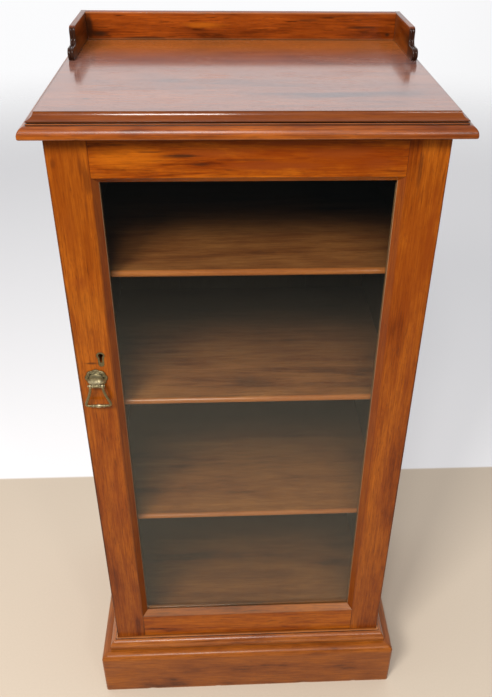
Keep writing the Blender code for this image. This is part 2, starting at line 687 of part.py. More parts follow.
def build_gallery():
    """Low gallery: a back rail between two short ends with a double lobed, reeded front edge."""
    back_y = BACK_Y - GALLERY_SETBACK
    rail_front_y = back_y - GALLERY_RAIL_THICKNESS
    inner_half = GALLERY_OUTER_HALF_WIDTH - GALLERY_END_THICKNESS
    rail_half = inner_half - SEAT_GAP
    rail = box("gallery_rail", (-rail_half, rail_front_y, GALLERY_BOTTOM_Z), (rail_half, back_y, GALLERY_TOP_Z))
    finish(ease(rail, GALLERY_EASING), "gallery_walnut")

    floor_z = GALLERY_BOTTOM_Z
    lobe = LOWER_LOBE_RADIUS
    upper = UPPER_LOBE_RADIUS
    lower_centre = (back_y - GALLERY_END_FOOT_LENGTH + lobe, floor_z + lobe)
    upper_centre = (back_y - GALLERY_END_TOP_LENGTH + upper, GALLERY_TOP_Z - upper)
    cove_centre = (upper_centre[0] - upper - LOBE_COVE_RADIUS, lower_centre[1] + lobe + LOBE_COVE_RADIUS)
    front_edge = arc(lower_centre, (lobe, lobe), 238, 90, 14)
    front_edge += arc(cove_centre, (LOBE_COVE_RADIUS, LOBE_COVE_RADIUS), 270, 360, 8)
    front_edge += arc(upper_centre, (upper, upper), 180, 90, 6)
    foot_y = front_edge[0][0]
    outline = [(back_y, floor_z), (foot_y, floor_z)] + front_edge + [(back_y, GALLERY_TOP_Z)]
    grooved = front_edge[:-1]
    last = Vector(grooved[-1])
    direction = (last - Vector(grooved[-2])).normalized()
    away = last + direction * upper
    groove_path = [(foot_y, floor_z - CUT_OVERRUN)] + grooved + [(away.x, away.y)]
    for side, sign in (("left", -1), ("right", 1)):
        low_x, high_x = sorted((sign * inner_half, sign * GALLERY_OUTER_HALF_WIDTH))
        end = ease(prism(f"gallery_end_{side}", outline, low_x, high_x, RUN_ALONG_X), GALLERY_EASING)
        middle_x = (low_x + high_x) / 2
        groove = tube(f"cut_reed_groove_{side}", groove_path, REED_GROOVE_RADIUS, (middle_x, 0, 0), RUN_ALONG_X,
                      kind="POLY")
        finish(cut(end, make_cutter(groove)), "gallery_walnut")


def stile_outline(sign):
    """Plan of a door stile: eased outer arris, bevelled inner edge, lip and glazing rebate."""
    easing = DOOR_EASING
    corner = arc((HALF_WIDTH - easing, FRONT_Y + easing), (easing, easing), 0, -90, 3)
    points = [(HALF_WIDTH, DOOR_BACK_Y)] + corner
    points += [
        (ARRIS_HALF_WIDTH, FRONT_Y),
        (SIGHT_HALF_WIDTH, FRONT_Y + STICKING_DEPTH),
        (SIGHT_HALF_WIDTH, FRONT_Y + LIP_THICKNESS),
        (REBATE_HALF_WIDTH, FRONT_Y + LIP_THICKNESS),
        (REBATE_HALF_WIDTH, DOOR_BACK_Y),
    ]
    return [(sign * x, y) for x, y in points]


def rail_outline(outer_z, arris_z, sight_z, rebate_z):
    """Section of a door rail from its outer edge to its bevelled edge, lip and glazing rebate."""
    return [
        (DOOR_BACK_Y, outer_z),
        (FRONT_Y, outer_z),
        (FRONT_Y, arris_z),
        (FRONT_Y + STICKING_DEPTH, sight_z),
        (FRONT_Y + LIP_THICKNESS, sight_z),
        (FRONT_Y + LIP_THICKNESS, rebate_z),
        (DOOR_BACK_Y, rebate_z),
    ]


def frame_mitre_cutters():
    """Cutters that shape the frame's joints: bevels meet at a mitre, and rails butt against the stiles."""
    reach = STICKING_WIDTH + CUT_OVERRUN
    shift = SEAT_GAP * math.sqrt(2)
    low_y, high_y = FRONT_Y - CUT_OVERRUN, DOOR_BACK_Y + CUT_OVERRUN
    cutters = {}
    for side, sx in (("left", -1), ("right", 1)):
        for end, sz, arris_z, outer_z in (("bottom", -1, ARRIS_BOTTOM_Z, DOOR_BOTTOM_Z),
                                          ("top", 1, ARRIS_TOP_Z, DOOR_TOP_Z)):
            beyond_z = outer_z + sz * CUT_OVERRUN
            stile_cut = [
                (sx * ARRIS_HALF_WIDTH, arris_z),
                (sx * (ARRIS_HALF_WIDTH - reach), arris_z - sz * reach),
                (sx * (ARRIS_HALF_WIDTH - reach), beyond_z),
                (sx * ARRIS_HALF_WIDTH, beyond_z),
            ]
            rail_cut = [
                (sx * (ARRIS_HALF_WIDTH - shift), arris_z),
                (sx * (ARRIS_HALF_WIDTH - shift - reach), arris_z - sz * reach),
                (sx * (ARRIS_HALF_WIDTH + reach), arris_z - sz * reach),
                (sx * (ARRIS_HALF_WIDTH + reach), arris_z),
            ]
            for member, outline in (("stile", stile_cut), ("rail", rail_cut)):
                name = f"cut_{member}_{end}_{side}"
                cutters[member, end, side] = make_cutter(prism(name, outline, low_y, high_y, RUN_ALONG_Y))
    return cutters


def keyhole_outline(radius, drop, neck, foot, grow=0):
    """A round head over a narrower tail with a rounded foot, grown by a clearance, about the head's centre."""
    radius, drop = radius + grow, drop + grow
    half_neck, half_foot = neck / 2 + grow, foot / 2 + grow
    meet = math.degrees(math.acos(half_neck / radius))
    points = arc((0, 0), (radius, radius), -meet, 180 + meet, 24)
    points += arc((0, half_foot - drop), (half_foot, half_foot), 180, 360, 8)
    return [(KEYHOLE_X + x, KEYHOLE_Z + z) for x, z in points]


def build_door(mitre_cutters):
    """Door frame, glass, glazing beads, escutcheon and lock. Returns every piece that turns with the door."""
    pieces = []
    keyhole = keyhole_outline(KEYHOLE_RADIUS, KEYHOLE_DROP, KEYHOLE_NECK, KEYHOLE_FOOT)
    keyhole_depth_y = BOLT_MIDDLE_Y + BOLT_THICKNESS / 2 + SEAT_GAP
    keyhole_cutter = make_cutter(prism("cut_keyhole", keyhole, FRONT_Y - CUT_OVERRUN, keyhole_depth_y, RUN_ALONG_Y))
    seat = keyhole_outline(ESCUTCHEON_RADIUS, ESCUTCHEON_DROP, ESCUTCHEON_NECK, ESCUTCHEON_FOOT, SEAT_GAP)
    seat_cutter = make_cutter(prism("cut_escutcheon_seat", seat, FRONT_Y - CUT_OVERRUN,
                                    FRONT_Y + ESCUTCHEON_THICKNESS + SEAT_GAP, RUN_ALONG_Y))

    tenon_low_y = FRONT_Y + (DOOR_THICKNESS - TENON_THICKNESS) / 2
    tenon_high_y = tenon_low_y + TENON_THICKNESS
    rails = {"bottom": (DOOR_BOTTOM_Z, ARRIS_BOTTOM_Z, SIGHT_BOTTOM_Z, REBATE_BOTTOM_Z),
             "top": (DOOR_TOP_Z, ARRIS_TOP_Z, SIGHT_TOP_Z, REBATE_TOP_Z)}
    mortises = {"left": [], "right": []}
    for end, (outer_z, arris_z, sight_z, rebate_z) in rails.items():
        half = ARRIS_HALF_WIDTH - SEAT_GAP
        rail = prism(f"door_rail_{end}", rail_outline(outer_z, arris_z, sight_z, rebate_z), -half, half, RUN_ALONG_X)
        cut(rail, mitre_cutters["rail", end, "left"], mitre_cutters["rail", end, "right"])
        low_z, high_z = sorted((outer_z, arris_z))
        low_z, high_z = low_z + TENON_SHOULDER, high_z - TENON_SHOULDER
        for side, sign in (("left", -1), ("right", 1)):
            root = sign * (half - TENON_LENGTH)
            tip = sign * (ARRIS_HALF_WIDTH + TENON_LENGTH)
            low_x, high_x = sorted((root, tip))
            join(rail, box(f"tenon_{end}_{side}", (low_x, tenon_low_y, low_z), (high_x, tenon_high_y, high_z)))
            low_x, high_x = sorted((sign * (ARRIS_HALF_WIDTH - CUT_OVERRUN), tip + sign * SEAT_GAP))
            mortises[side].append(make_cutter(
                box(f"cut_mortise_{end}_{side}", (low_x, tenon_low_y - SEAT_GAP, low_z - SEAT_GAP),
                    (high_x, tenon_high_y + SEAT_GAP, high_z + SEAT_GAP))))
        pieces.append(finish(rail, "door_walnut"))

    for side, sign, name in (("left", -1, "door_stile_lock"), ("right", 1, "door_stile_hinge")):
        stile = prism(name, stile_outline(sign), DOOR_BOTTOM_Z, DOOR_TOP_Z, RUN_ALONG_Z)
        cut(stile, mitre_cutters["stile", "bottom", side], mitre_cutters["stile", "top", side], *mortises[side])
        if side == "left":
            cut(stile, keyhole_cutter, seat_cutter)
        pieces.append(finish(stile, "door_walnut"))

    glass_half = REBATE_HALF_WIDTH - SEAT_GAP
    glass_low_y = FRONT_Y + LIP_THICKNESS + SEAT_GAP
    glass_high_y = glass_low_y + GLASS_THICKNESS
    glass = box("glass_pane", (-glass_half, glass_low_y, REBATE_BOTTOM_Z + SEAT_GAP),
                (glass_half, glass_high_y, REBATE_TOP_Z - SEAT_GAP))
    pieces.append(finish(glass, "glass"))
    pieces += build_glazing_beads(glass_high_y + SEAT_GAP)

    plate = keyhole_outline(ESCUTCHEON_RADIUS, ESCUTCHEON_DROP, ESCUTCHEON_NECK, ESCUTCHEON_FOOT)
    escutcheon = prism("escutcheon", plate, FRONT_Y, FRONT_Y + ESCUTCHEON_THICKNESS, RUN_ALONG_Y)
    pieces.append(finish(cut(escutcheon, keyhole_cutter), "brass"))

    lock_low_z = KEYHOLE_Z - LOCK_DROP
    lock = box("lock_case", (LOCK_LEFT_X, LOCK_FRONT_Y, lock_low_z),
               (LOCK_LEFT_X + LOCK_WIDTH, LOCK_FRONT_Y + LOCK_DEPTH, lock_low_z + LOCK_HEIGHT))
    cut(lock, keyhole_cutter, bolt_cutter())
    pieces.append(finish(lock, "steel"))
    return pieces


def build_glazing_beads(front_y):
    """Four mitred beads that hold the glass in its rebate from behind."""
    outer_x, low_z, high_z = REBATE_HALF_WIDTH - SEAT_GAP, REBATE_BOTTOM_Z + SEAT_GAP, REBATE_TOP_Z - SEAT_GAP
    width = GLAZING_BEAD_WIDTH
    shift = SEAT_GAP * math.sqrt(2)
    beads = []
    for side, sign in (("left", -1), ("right", 1)):
        outline = [
            (sign * outer_x, low_z + shift),
            (sign * outer_x, high_z - shift),
            (sign * (outer_x - width), high_z - width - shift),
            (sign * (outer_x - width), low_z + width + shift),
        ]
        beads.append(prism(f"glazing_bead_{side}", outline, front_y, DOOR_BACK_Y - SEAT_GAP, RUN_ALONG_Y))
    for end, sign, edge_z in (("bottom", 1, low_z), ("top", -1, high_z)):
        outline = [
            (-outer_x, edge_z),
            (outer_x, edge_z),
            (outer_x - width, edge_z + sign * width),
            (width - outer_x, edge_z + sign * width),
        ]
        beads.append(prism(f"glazing_bead_{end}", outline, front_y, DOOR_BACK_Y - SEAT_GAP, RUN_ALONG_Y))
    return [finish(ease(bead, GLAZING_BEAD_EASING), "door_walnut") for bead in beads]


def bolt_cutter():
    """Guideway of the bolt in the lock, carried on as its mortise in the strike plate and the left side."""
    half_y = BOLT_THICKNESS / 2 + SEAT_GAP
    half_z = BOLT_HEIGHT / 2 + SEAT_GAP
    low_x = LOCK_LEFT_X - BOLT_THROW - LOCK_SIDE_CLEARANCE - CUT_OVERRUN / 2
    high_x = LOCK_LEFT_X + BOLT_FACE_INSET + BOLT_LENGTH + SEAT_GAP
    existing = bpy.data.objects.get("cut_bolt_way")
    if existing:
        return existing
    return make_cutter(box("cut_bolt_way", (low_x, BOLT_MIDDLE_Y - half_y, BOLT_MIDDLE_Z - half_z),
                           (high_x, BOLT_MIDDLE_Y + half_y, BOLT_MIDDLE_Z + half_z)))


def build_bolt_and_strike(left_side):
    """Lock bolt, drawn back at rest, and the strike plate let into the left side."""
    low_x = LOCK_LEFT_X + BOLT_FACE_INSET
    bolt = box("lock_bolt", (low_x, BOLT_MIDDLE_Y - BOLT_THICKNESS / 2, BOLT_MIDDLE_Z - BOLT_HEIGHT / 2),
               (low_x + BOLT_LENGTH, BOLT_MIDDLE_Y + BOLT_THICKNESS / 2, BOLT_MIDDLE_Z + BOLT_HEIGHT / 2))
    finish(bolt, "brass")

    face_x = -INNER_HALF_WIDTH
    low = Vector((face_x - STRIKE_THICKNESS, BOLT_MIDDLE_Y - STRIKE_WIDTH / 2, BOLT_MIDDLE_Z - STRIKE_HEIGHT / 2))
    high = Vector((face_x, BOLT_MIDDLE_Y + STRIKE_WIDTH / 2, BOLT_MIDDLE_Z + STRIKE_HEIGHT / 2))
    strike = box("strike_plate", low, high)
    finish(cut(strike, bolt_cutter()), "brass")
    margin = Vector((SEAT_GAP, SEAT_GAP, SEAT_GAP))
    seat = make_cutter(box("cut_strike_seat", low - margin, high + margin + Vector((CUT_OVERRUN, 0, 0))))
    cut(left_side, seat, bolt_cutter())
    return bolt


def build_hinge(name, middle_z, right_side, hinge_stile):
    """One butt hinge: a leaf let into the carcass, a leaf let into the door, and the pin.

    The knuckles are shared out in turn, and the carcass leaf has the first and the last. Returns the door's leaf.
    """
    length = HINGE_LENGTH
    pitch = length / HINGE_KNUCKLE_COUNT
    inner_x = HALF_WIDTH - HINGE_LEAF_WIDTH
    edge_x = HINGE_X - HINGE_KNUCKLE_RADIUS - SEAT_GAP
    bore = make_cutter(rod(f"cut_pin_bore_{name}", (HINGE_X, HINGE_Y, middle_z), HINGE_PIN_RADIUS + PIN_CLEARANCE,
                           length + 2 * CUT_OVERRUN, RUN_ALONG_Z, 24))
    leaves = {}
    for owner, sign in (("carcass", 1), ("door", -1)):
        near_y = HINGE_Y + sign * SEAT_GAP / 2
        far_y = near_y + sign * HINGE_LEAF_THICKNESS
        low_y, high_y = sorted((near_y, far_y))
        leaf = box(f"hinge_leaf_{owner}_{name}", (inner_x, low_y, middle_z - length / 2),
                   (edge_x, high_y, middle_z + length / 2))
        for index in range(HINGE_KNUCKLE_COUNT):
            is_carcass = index % 2 == 0
            if is_carcass != (owner == "carcass"):
                continue
            centre_z = middle_z - length / 2 + pitch * (index + 0.5)
            knuckle_length = pitch - SEAT_GAP
            tab = box(f"knuckle_tab_{owner}_{name}_{index}", (edge_x - CUT_OVERRUN, low_y, centre_z - knuckle_length / 2),
                      (HINGE_X, high_y, centre_z + knuckle_length / 2))
            knuckle = rod(f"knuckle_{owner}_{name}_{index}", (HINGE_X, HINGE_Y, centre_z), HINGE_KNUCKLE_RADIUS,
                          knuckle_length, RUN_ALONG_Z, 24)
            join(leaf, tab, knuckle)
        leaves[owner] = finish(cut(leaf, bore), "brass")

        outer_x = HALF_WIDTH + CUT_OVERRUN
        recess_low_y, recess_high_y = sorted((HINGE_Y, far_y + sign * SEAT_GAP))
        recess = make_cutter(box(f"cut_hinge_recess_{owner}_{name}",
                                 (inner_x - SEAT_GAP, recess_low_y, middle_z - length / 2 - SEAT_GAP),
                                 (outer_x, recess_high_y, middle_z + length / 2 + SEAT_GAP)))
        cut(right_side if owner == "carcass" else hinge_stile, recess)

    pin = rod(f"hinge_pin_{name}", (HINGE_X, HINGE_Y, middle_z), HINGE_PIN_RADIUS, length, RUN_ALONG_Z, 24)
    finish(pin, "brass")
    return leaves["door"]


def build_handle_plate():
    """Cast back plate of the drop handle: a scalloped plate with a dome, a canopy and a barrel for the pin."""
    centre_z = HANDLE_PIN_Z + PLATE_CENTRE_RISE
    outline = []
    steps = PLATE_SCALLOP_COUNT * 8
    for step in range(steps):
        angle = 2 * math.pi * step / steps
        lobe = abs(math.cos(PLATE_SCALLOP_COUNT / 2 * angle))
        grow = 1 - PLATE_SCALLOP_SHARE * (1 - lobe)
        outline.append((HANDLE_X + PLATE_HALF_WIDTH * grow * math.cos(angle),
                        centre_z + PLATE_HALF_HEIGHT * grow * math.sin(angle)))
    back_y = FRONT_Y - SEAT_GAP
    face_y = back_y - PLATE_THICKNESS
    plate = prism("handle_backplate", outline, face_y, back_y, RUN_ALONG_Y)
    dome = ellipsoid("plate_dome", (HANDLE_X, face_y + PLATE_EASING, centre_z),
                     (PLATE_DOME_HALF_WIDTH, PLATE_DOME_DEPTH, PLATE_DOME_HALF_HEIGHT))
    canopy_foot_z = HANDLE_PIN_Z + CANOPY_RISE
    canopy = ellipsoid("plate_canopy", (HANDLE_X, face_y + PLATE_EASING, canopy_foot_z),
                       (CANOPY_HALF_WIDTH, CANOPY_DEPTH, CANOPY_HEIGHT))
    under = make_cutter(box("cut_under_canopy",
                            (HANDLE_X - CANOPY_HALF_WIDTH * 2, face_y - CANOPY_DEPTH * 2, canopy_foot_z - CANOPY_HEIGHT * 2),
                            (HANDLE_X + CANOPY_HALF_WIDTH * 2, face_y + CANOPY_DEPTH, canopy_foot_z)))
    behind = make_cutter(box("cut_behind_plate",
                             (HANDLE_X - PLATE_HALF_WIDTH * 2, back_y, centre_z - PLATE_HALF_HEIGHT * 2),
                             (HANDLE_X + PLATE_HALF_WIDTH * 2, back_y + CANOPY_DEPTH, centre_z + PLATE_HALF_HEIGHT * 2)))
    barrel = rod("plate_barrel", (HANDLE_X, HANDLE_PIN_Y, HANDLE_PIN_Z), BARREL_RADIUS, 2 * BARREL_HALF_LENGTH,
                 RUN_ALONG_X, 24)
    neck = box("plate_neck",
               (HANDLE_X - BARREL_NECK_HALF_WIDTH, HANDLE_PIN_Y, HANDLE_PIN_Z - BARREL_NECK_HALF_HEIGHT),
               (HANDLE_X + BARREL_NECK_HALF_WIDTH, face_y + PLATE_EASING, HANDLE_PIN_Z + BARREL_NECK_HALF_HEIGHT))
    join(plate, dome, cut(canopy, under), neck, barrel)
    bore = make_cutter(rod("cut_handle_bore", (HANDLE_X, HANDLE_PIN_Y, HANDLE_PIN_Z), HANDLE_PIN_RADIUS + PIN_CLEARANCE,
                           4 * HANDLE_PIN_HALF_LENGTH, RUN_ALONG_X, 24))
    finish(cut(plate, behind, bore), "brass")

    pin = rod("handle_pin", (HANDLE_X, HANDLE_PIN_Y, HANDLE_PIN_Z), HANDLE_PIN_RADIUS, 2 * HANDLE_PIN_HALF_LENGTH,
              RUN_ALONG_X, 24)
    head_x = HANDLE_PIN_HALF_LENGTH + HANDLE_PIN_HEAD_LENGTH / 2
    for side, sign in (("left", -1), ("right", 1)):
        head = rod(f"pin_head_{side}", (HANDLE_X + sign * head_x, HANDLE_PIN_Y, HANDLE_PIN_Z), HANDLE_PIN_HEAD_RADIUS,
                   HANDLE_PIN_HEAD_LENGTH + SEAT_GAP, RUN_ALONG_X, 24)
        join(pin, head)
    finish(pin, "brass")
    return [plate, pin], bore


def build_bail(bore):
    """Bail of the drop handle: two flaring arms from eyes on the pin to a bottom bar with a swell in its middle."""
    half, drop = BAIL_HALF_WIDTH, BAIL_DROP
    arm = [(half * across, -drop * down) for across, down in BAIL_ARM_SHARES]
    corner = [(half * BAIL_CORNER_SHARE, -drop)]
    lower = arm + corner + [(0, -drop)]
    path = [(-x, z) for x, z in lower[:-1]] + [(x, z) for x, z in reversed(lower)]
    bail = tube("handle_bail", path, BAIL_BAR_RADIUS, (HANDLE_X, HANDLE_PIN_Y, HANDLE_PIN_Z), RUN_ALONG_Y)
    for side, sign in (("left", -1), ("right", 1)):
        eye = rod(f"bail_eye_{side}", (HANDLE_X + sign * BAIL_EYE_OFFSET, HANDLE_PIN_Y, HANDLE_PIN_Z), BAIL_EYE_RADIUS,
                  BAIL_EYE_WIDTH, RUN_ALONG_X, 24)
        join(bail, eye)
    swell = ellipsoid("bail_swell", (HANDLE_X, HANDLE_PIN_Y, HANDLE_PIN_Z - drop),
                      (BAIL_SWELL_HALF_LENGTH, BAIL_SWELL_RADIUS, BAIL_SWELL_RADIUS))
    join(bail, swell)
    return finish(cut(bail, bore), "brass")


def pivot(name, location, pieces, parent=None):
    """An empty on a joint's axis, with the moving pieces as its children."""
    empty = bpy.data.objects.new(name, None)
    empty.location = location
    empty.empty_display_size = HINGE_LENGTH
    bpy.data.collections["sheet_music_cabinet"].objects.link(empty)
    if parent:
        attach(empty, parent)
    for piece in pieces:
        attach(piece, empty)
    return empty


def attach(child, parent):
    """Parents one object to another and leaves it where it is."""
    bpy.context.view_layer.update()
    child.parent = parent
    child.matrix_parent_inverse = parent.matrix_world.inverted()


def build_cabinet():
    """Builds every piece, then hangs the door, the bail and the bolt on the axes of their joints."""
    start_scene()
    mitres = corner_cutters()
    sides = build_carcass()
    build_back()
    build_plinth(mitres)
    inner_front = -(DOOR_THICKNESS + DOOR_SEAM - SEAT_GAP)
    wrap_moulding("cornice", cornice_profile(inner_front), cornice_profile(SEAT_GAP), mitres, "moulding_walnut")
    build_top_board()
    build_gallery()

    door = build_door(frame_mitre_cutters())
    bolt = build_bolt_and_strike(sides["left"])
    hinge_stile = bpy.data.objects["door_stile_hinge"]
    hinge_offset = HINGE_END_DISTANCE + HINGE_LENGTH / 2
    for name, middle_z in (("lower", DOOR_BOTTOM_Z + hinge_offset), ("upper", DOOR_TOP_Z - hinge_offset)):
        door.append(build_hinge(name, middle_z, sides["right"], hinge_stile))
    plate_pieces, bore = build_handle_plate()
    bail = build_bail(bore)

    door_pivot = pivot("door_pivot", (HINGE_X, HINGE_Y, DOOR_BOTTOM_Z), door + plate_pieces)
    pivot("bail_pivot", (HANDLE_X, HANDLE_PIN_Y, HANDLE_PIN_Z), [bail], door_pivot)
    pivot("bolt_guide", (LOCK_LEFT_X, BOLT_MIDDLE_Y, BOLT_MIDDLE_Z), [bolt], door_pivot)


build_cabinet()
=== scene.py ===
# %% [markdown]
# A sheet music cabinet of about 1900: polished walnut, one glazed door, a moulded plinth and cornice, and a low
# gallery on top. The CAD model gives every piece its size and place. This lesson gives them their looks: mouldings
# as surfaces worked out with numpy, wood and metal as node materials, and plain soft light.

import bpy
import numpy as np
from mathutils import Matrix, Vector


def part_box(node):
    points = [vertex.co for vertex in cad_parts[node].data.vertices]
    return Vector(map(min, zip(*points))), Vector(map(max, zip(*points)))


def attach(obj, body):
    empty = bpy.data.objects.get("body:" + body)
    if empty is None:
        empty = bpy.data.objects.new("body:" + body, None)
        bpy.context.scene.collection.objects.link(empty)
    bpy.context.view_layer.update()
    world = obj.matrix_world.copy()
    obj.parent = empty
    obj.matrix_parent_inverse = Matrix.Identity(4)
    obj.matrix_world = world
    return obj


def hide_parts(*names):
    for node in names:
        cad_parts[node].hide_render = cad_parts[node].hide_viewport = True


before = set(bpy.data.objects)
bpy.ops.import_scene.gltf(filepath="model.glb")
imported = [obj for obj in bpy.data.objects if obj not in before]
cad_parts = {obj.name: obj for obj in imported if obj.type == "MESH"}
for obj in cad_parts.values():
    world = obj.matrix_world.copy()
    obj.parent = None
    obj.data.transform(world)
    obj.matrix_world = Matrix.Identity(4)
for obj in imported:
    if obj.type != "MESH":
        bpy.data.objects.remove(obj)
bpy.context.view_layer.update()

# %% [markdown]
# The main levels and faces are read from the CAD pieces, so that a new piece meets its neighbours exactly. The
# door's face is the plane from which every projection at the front is measured, and the carcass's half width is
# the same for the sides.

# %% Read the main faces and levels
def span(node):
    """The lower and the upper corner of a CAD piece."""
    return [np.array(corner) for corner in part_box(node)]


def levels(node):
    """How high the foot and the top of a CAD piece lie."""
    low, high = span(node)
    return low[2], high[2]


FRONT = span("door_stile_lock")[0][1]
HALF, BACK = span("side_right")[1][:2]
DOOR_LOW, DOOR_HIGH = levels("door_stile_lock")
TOP_LOW, TOP_HIGH = levels("top_board")
BEAD_LOW, BEAD_HIGH = levels("plinth_bead_front")
CORNICE_LOW, CORNICE_HIGH = levels("cornice_front")
PLINTH_HIGH = levels("plinth_front")[1]
print("door", DOOR_LOW, DOOR_HIGH, "top", TOP_HIGH, "plinth", PLINTH_HIGH)

# %% [markdown]
# The camera stands above the cabinet and looks down at it, a little from the left. Its place, its turns and its lens
# come from fitting the cabinet's own edges to the photograph. The lens's axis isn't in the middle of the picture,
# because the picture was cropped, so the camera has a small shift.

# %% Camera
PICTURE_WIDTH, PICTURE_HEIGHT = 492, 697
FOCAL_PIXELS, AXIS_X, AXIS_Y = 755.85, 262.31, 339.43
EYE = Vector((-0.0328, FRONT - 0.8968, 1.4121))
YAW, PITCH, ROLL = np.radians([3.28, -33.88, 0.898])


def put(name, data):
    """Makes an object from its data and puts it into the scene."""
    thing = bpy.data.objects.new(name, data)
    bpy.context.scene.collection.objects.link(thing)
    return thing


def look(yaw, pitch, roll):
    """Camera turn: forward leans from +Y by the yaw and down by the pitch, then right and up turn by the roll."""
    forward = Vector((np.sin(yaw) * np.cos(pitch), np.cos(yaw) * np.cos(pitch), np.sin(pitch)))
    right = Vector((np.cos(yaw), -np.sin(yaw), 0))
    up = right.cross(forward)
    right, up = right * np.cos(roll) + up * np.sin(roll), up * np.cos(roll) - right * np.sin(roll)
    return Matrix((right, up, -forward)).transposed()


lens = bpy.data.cameras.new("camera")
lens.sensor_width = 36
lens.lens = FOCAL_PIXELS / PICTURE_HEIGHT * lens.sensor_width
lens.shift_x = (PICTURE_WIDTH / 2 - AXIS_X) / PICTURE_HEIGHT
lens.shift_y = (AXIS_Y - PICTURE_HEIGHT / 2) / PICTURE_HEIGHT
camera = put("camera", lens)
camera.matrix_world = Matrix.Translation(EYE) @ look(YAW, PITCH, ROLL).to_4x4()
bpy.context.scene.camera = camera
print("lens in mm:", round(lens.lens, 2), "shift:", round(lens.shift_x, 4), round(lens.shift_y, 4))

# %% [markdown]
# Shader maths reads best as sums and products. A small class wraps a socket, and each operator on it adds a Math
# node. A second class holds a Principled material, sets its constants on their own sockets, and adds every other
# node through one method.

# %% Sockets that can be added and multiplied
def plug(tree, socket, value):
    """Links a wire to a socket, or sets the socket to a plain value."""
    if isinstance(value, Wire):
        tree.links.new(value.socket, socket)
    else:
        socket.default_value = value


def operator(operation, backwards=False):
    """A method that joins a wire and another value by a Math node."""
    return lambda wire, other: wire.math(operation, *((other, wire) if backwards else (wire, other)))


class Wire:
    """An output socket on which sums, products and powers can be written."""

    def __init__(self, tree, socket):
        self.tree = tree
        self.socket = socket

    def math(self, operation, first, second):
        """Adds a Math node to the wire's tree."""
        node = self.tree.nodes.new("ShaderNodeMath")
        node.operation = operation
        plug(self.tree, node.inputs[0], first)
        plug(self.tree, node.inputs[1], second)
        return Wire(self.tree, node.outputs[0])

    __add__, __radd__ = operator("ADD"), operator("ADD", backwards=True)
    __sub__, __rsub__ = operator("SUBTRACT"), operator("SUBTRACT", backwards=True)
    __mul__, __rmul__ = operator("MULTIPLY"), operator("MULTIPLY", backwards=True)
    __pow__ = operator("POWER")


# %% A Principled material with one way to add nodes
class Finish:
    """A material. Constants go on the shader's own sockets, and node() adds any other node."""

    def __init__(self, name, **constants):
        self.material = bpy.data.materials.new(name)
        self.material.use_nodes = True
        self.tree = self.material.node_tree
        self.shader = self.tree.nodes["Principled BSDF"]
        for socket, value in constants.items():
            self.shader.inputs[socket.replace("_", " ")].default_value = value

    def node(self, kind, settings, sockets, output=0):
        """Adds a node: its settings or a ramp's stops first, then each socket's value or wire."""
        node = self.tree.nodes.new(kind)
        for key, value in settings.items():
            if key == "stops":
                ramp = node.color_ramp
                while len(ramp.elements) < len(value):
                    ramp.elements.new(0.5)
                for element, (position, colour) in zip(ramp.elements, value):
                    element.position = position
                    element.color = (*colour, 1)
            else:
                setattr(node, key, value)
        for key, value in sockets.items():
            plug(self.tree, node.inputs[key], value)
        return Wire(self.tree, node.outputs[output])

    def feed(self, socket, wire):
        """Links what varies over the surface to a socket of the shader."""
        plug(self.tree, self.shader.inputs[socket], wire)

    def here(self):
        """The object's own coordinates."""
        return self.node("ShaderNodeTexCoord", {}, {}, output=3)

    def axis(self, vector, number):
        """One coordinate of a vector."""
        return self.node("ShaderNodeSeparateXYZ", {}, {0: vector}, output=number)

    def length(self, vector):
        """A vector's length."""
        return self.node("ShaderNodeVectorMath", {"operation": "LENGTH"}, {0: vector}, output=1)

    def edge(self):
        """Edge values: above 0 on a worn arris, below 0 in a hollow, which in the wood's quirks is painted shade."""
        return self.node("ShaderNodeAttribute", {"attribute_name": "edge"}, {}, output=2)

    def mix(self, factor, first, second, blend="MIX"):
        """Mixes a colour with a plain one."""
        first = (*first, 1) if isinstance(first, tuple) else first
        return self.node("ShaderNodeMix", {"data_type": "RGBA", "blend_type": blend, "clamp_factor": True},
                         {0: factor, 6: first, 7: (*second, 1)}, output=2)

    def between(self, value, low, high):
        """0 below low, 1 above high, and a smooth step between them."""
        return self.node("ShaderNodeMapRange", {"interpolation_type": "SMOOTHSTEP"},
                         {0: value, 1: low, 2: high, 3: 0.0, 4: 1.0})

    def stretch(self, vector, amounts):
        """Multiplies a vector by three amounts."""
        return self.node("ShaderNodeVectorMath", {"operation": "MULTIPLY"}, {0: vector, 1: amounts})

    def noise(self, vector, scale, detail=2.0, roughness=0.5, distortion=0.0):
        """Noise at a scale, or at one stretch for each axis, from 0 to 1."""
        if isinstance(scale, tuple):
            vector, scale = self.stretch(vector, scale), 1.0
        return self.node("ShaderNodeTexNoise", {}, {"Vector": vector, "Scale": scale, "Detail": detail,
                                                    "Roughness": roughness, "Distortion": distortion})

    def bump(self, height, distance, strength, under=None):
        """A Bump node, over another one where one is given."""
        sockets = {"Height": height, "Distance": distance, "Strength": strength}
        if under:
            sockets["Normal"] = under
        return self.node("ShaderNodeBump", {}, sockets)


# %% [markdown]
# Polished walnut of this age has a warm ground that drifts between honey and red brown, a mottle of darker clouds,
# short dashes along the grain, fine dark pores, and stains where polish and dirt have gathered. All of it is a solid
# pattern in the piece's own coordinates, turned so that the grain runs along the piece, as in a sawn board. An
# attribute named edge says how far a spot is a worn arris or a hollow. Hollows are darkened, partly for dark polish
# and partly as painted shade in the quirks, under the cornice and at the bead's foot. Arrises are rubbed a little
# lighter. Single stains, painted shadows and worn patches are soft ellipsoids, each with its own place, reach and
# strength. Bands, across one coordinate, darken or dust an edge, or thin the polish there. Some bands are painted
# shade, painted highlights and painted reflections.

# %% Walnut recipe
GRAIN_TURN = {"X": (0, 0, 0), "Y": (0, 0, np.pi / 2), "Z": (0, np.pi / 2, 0)}


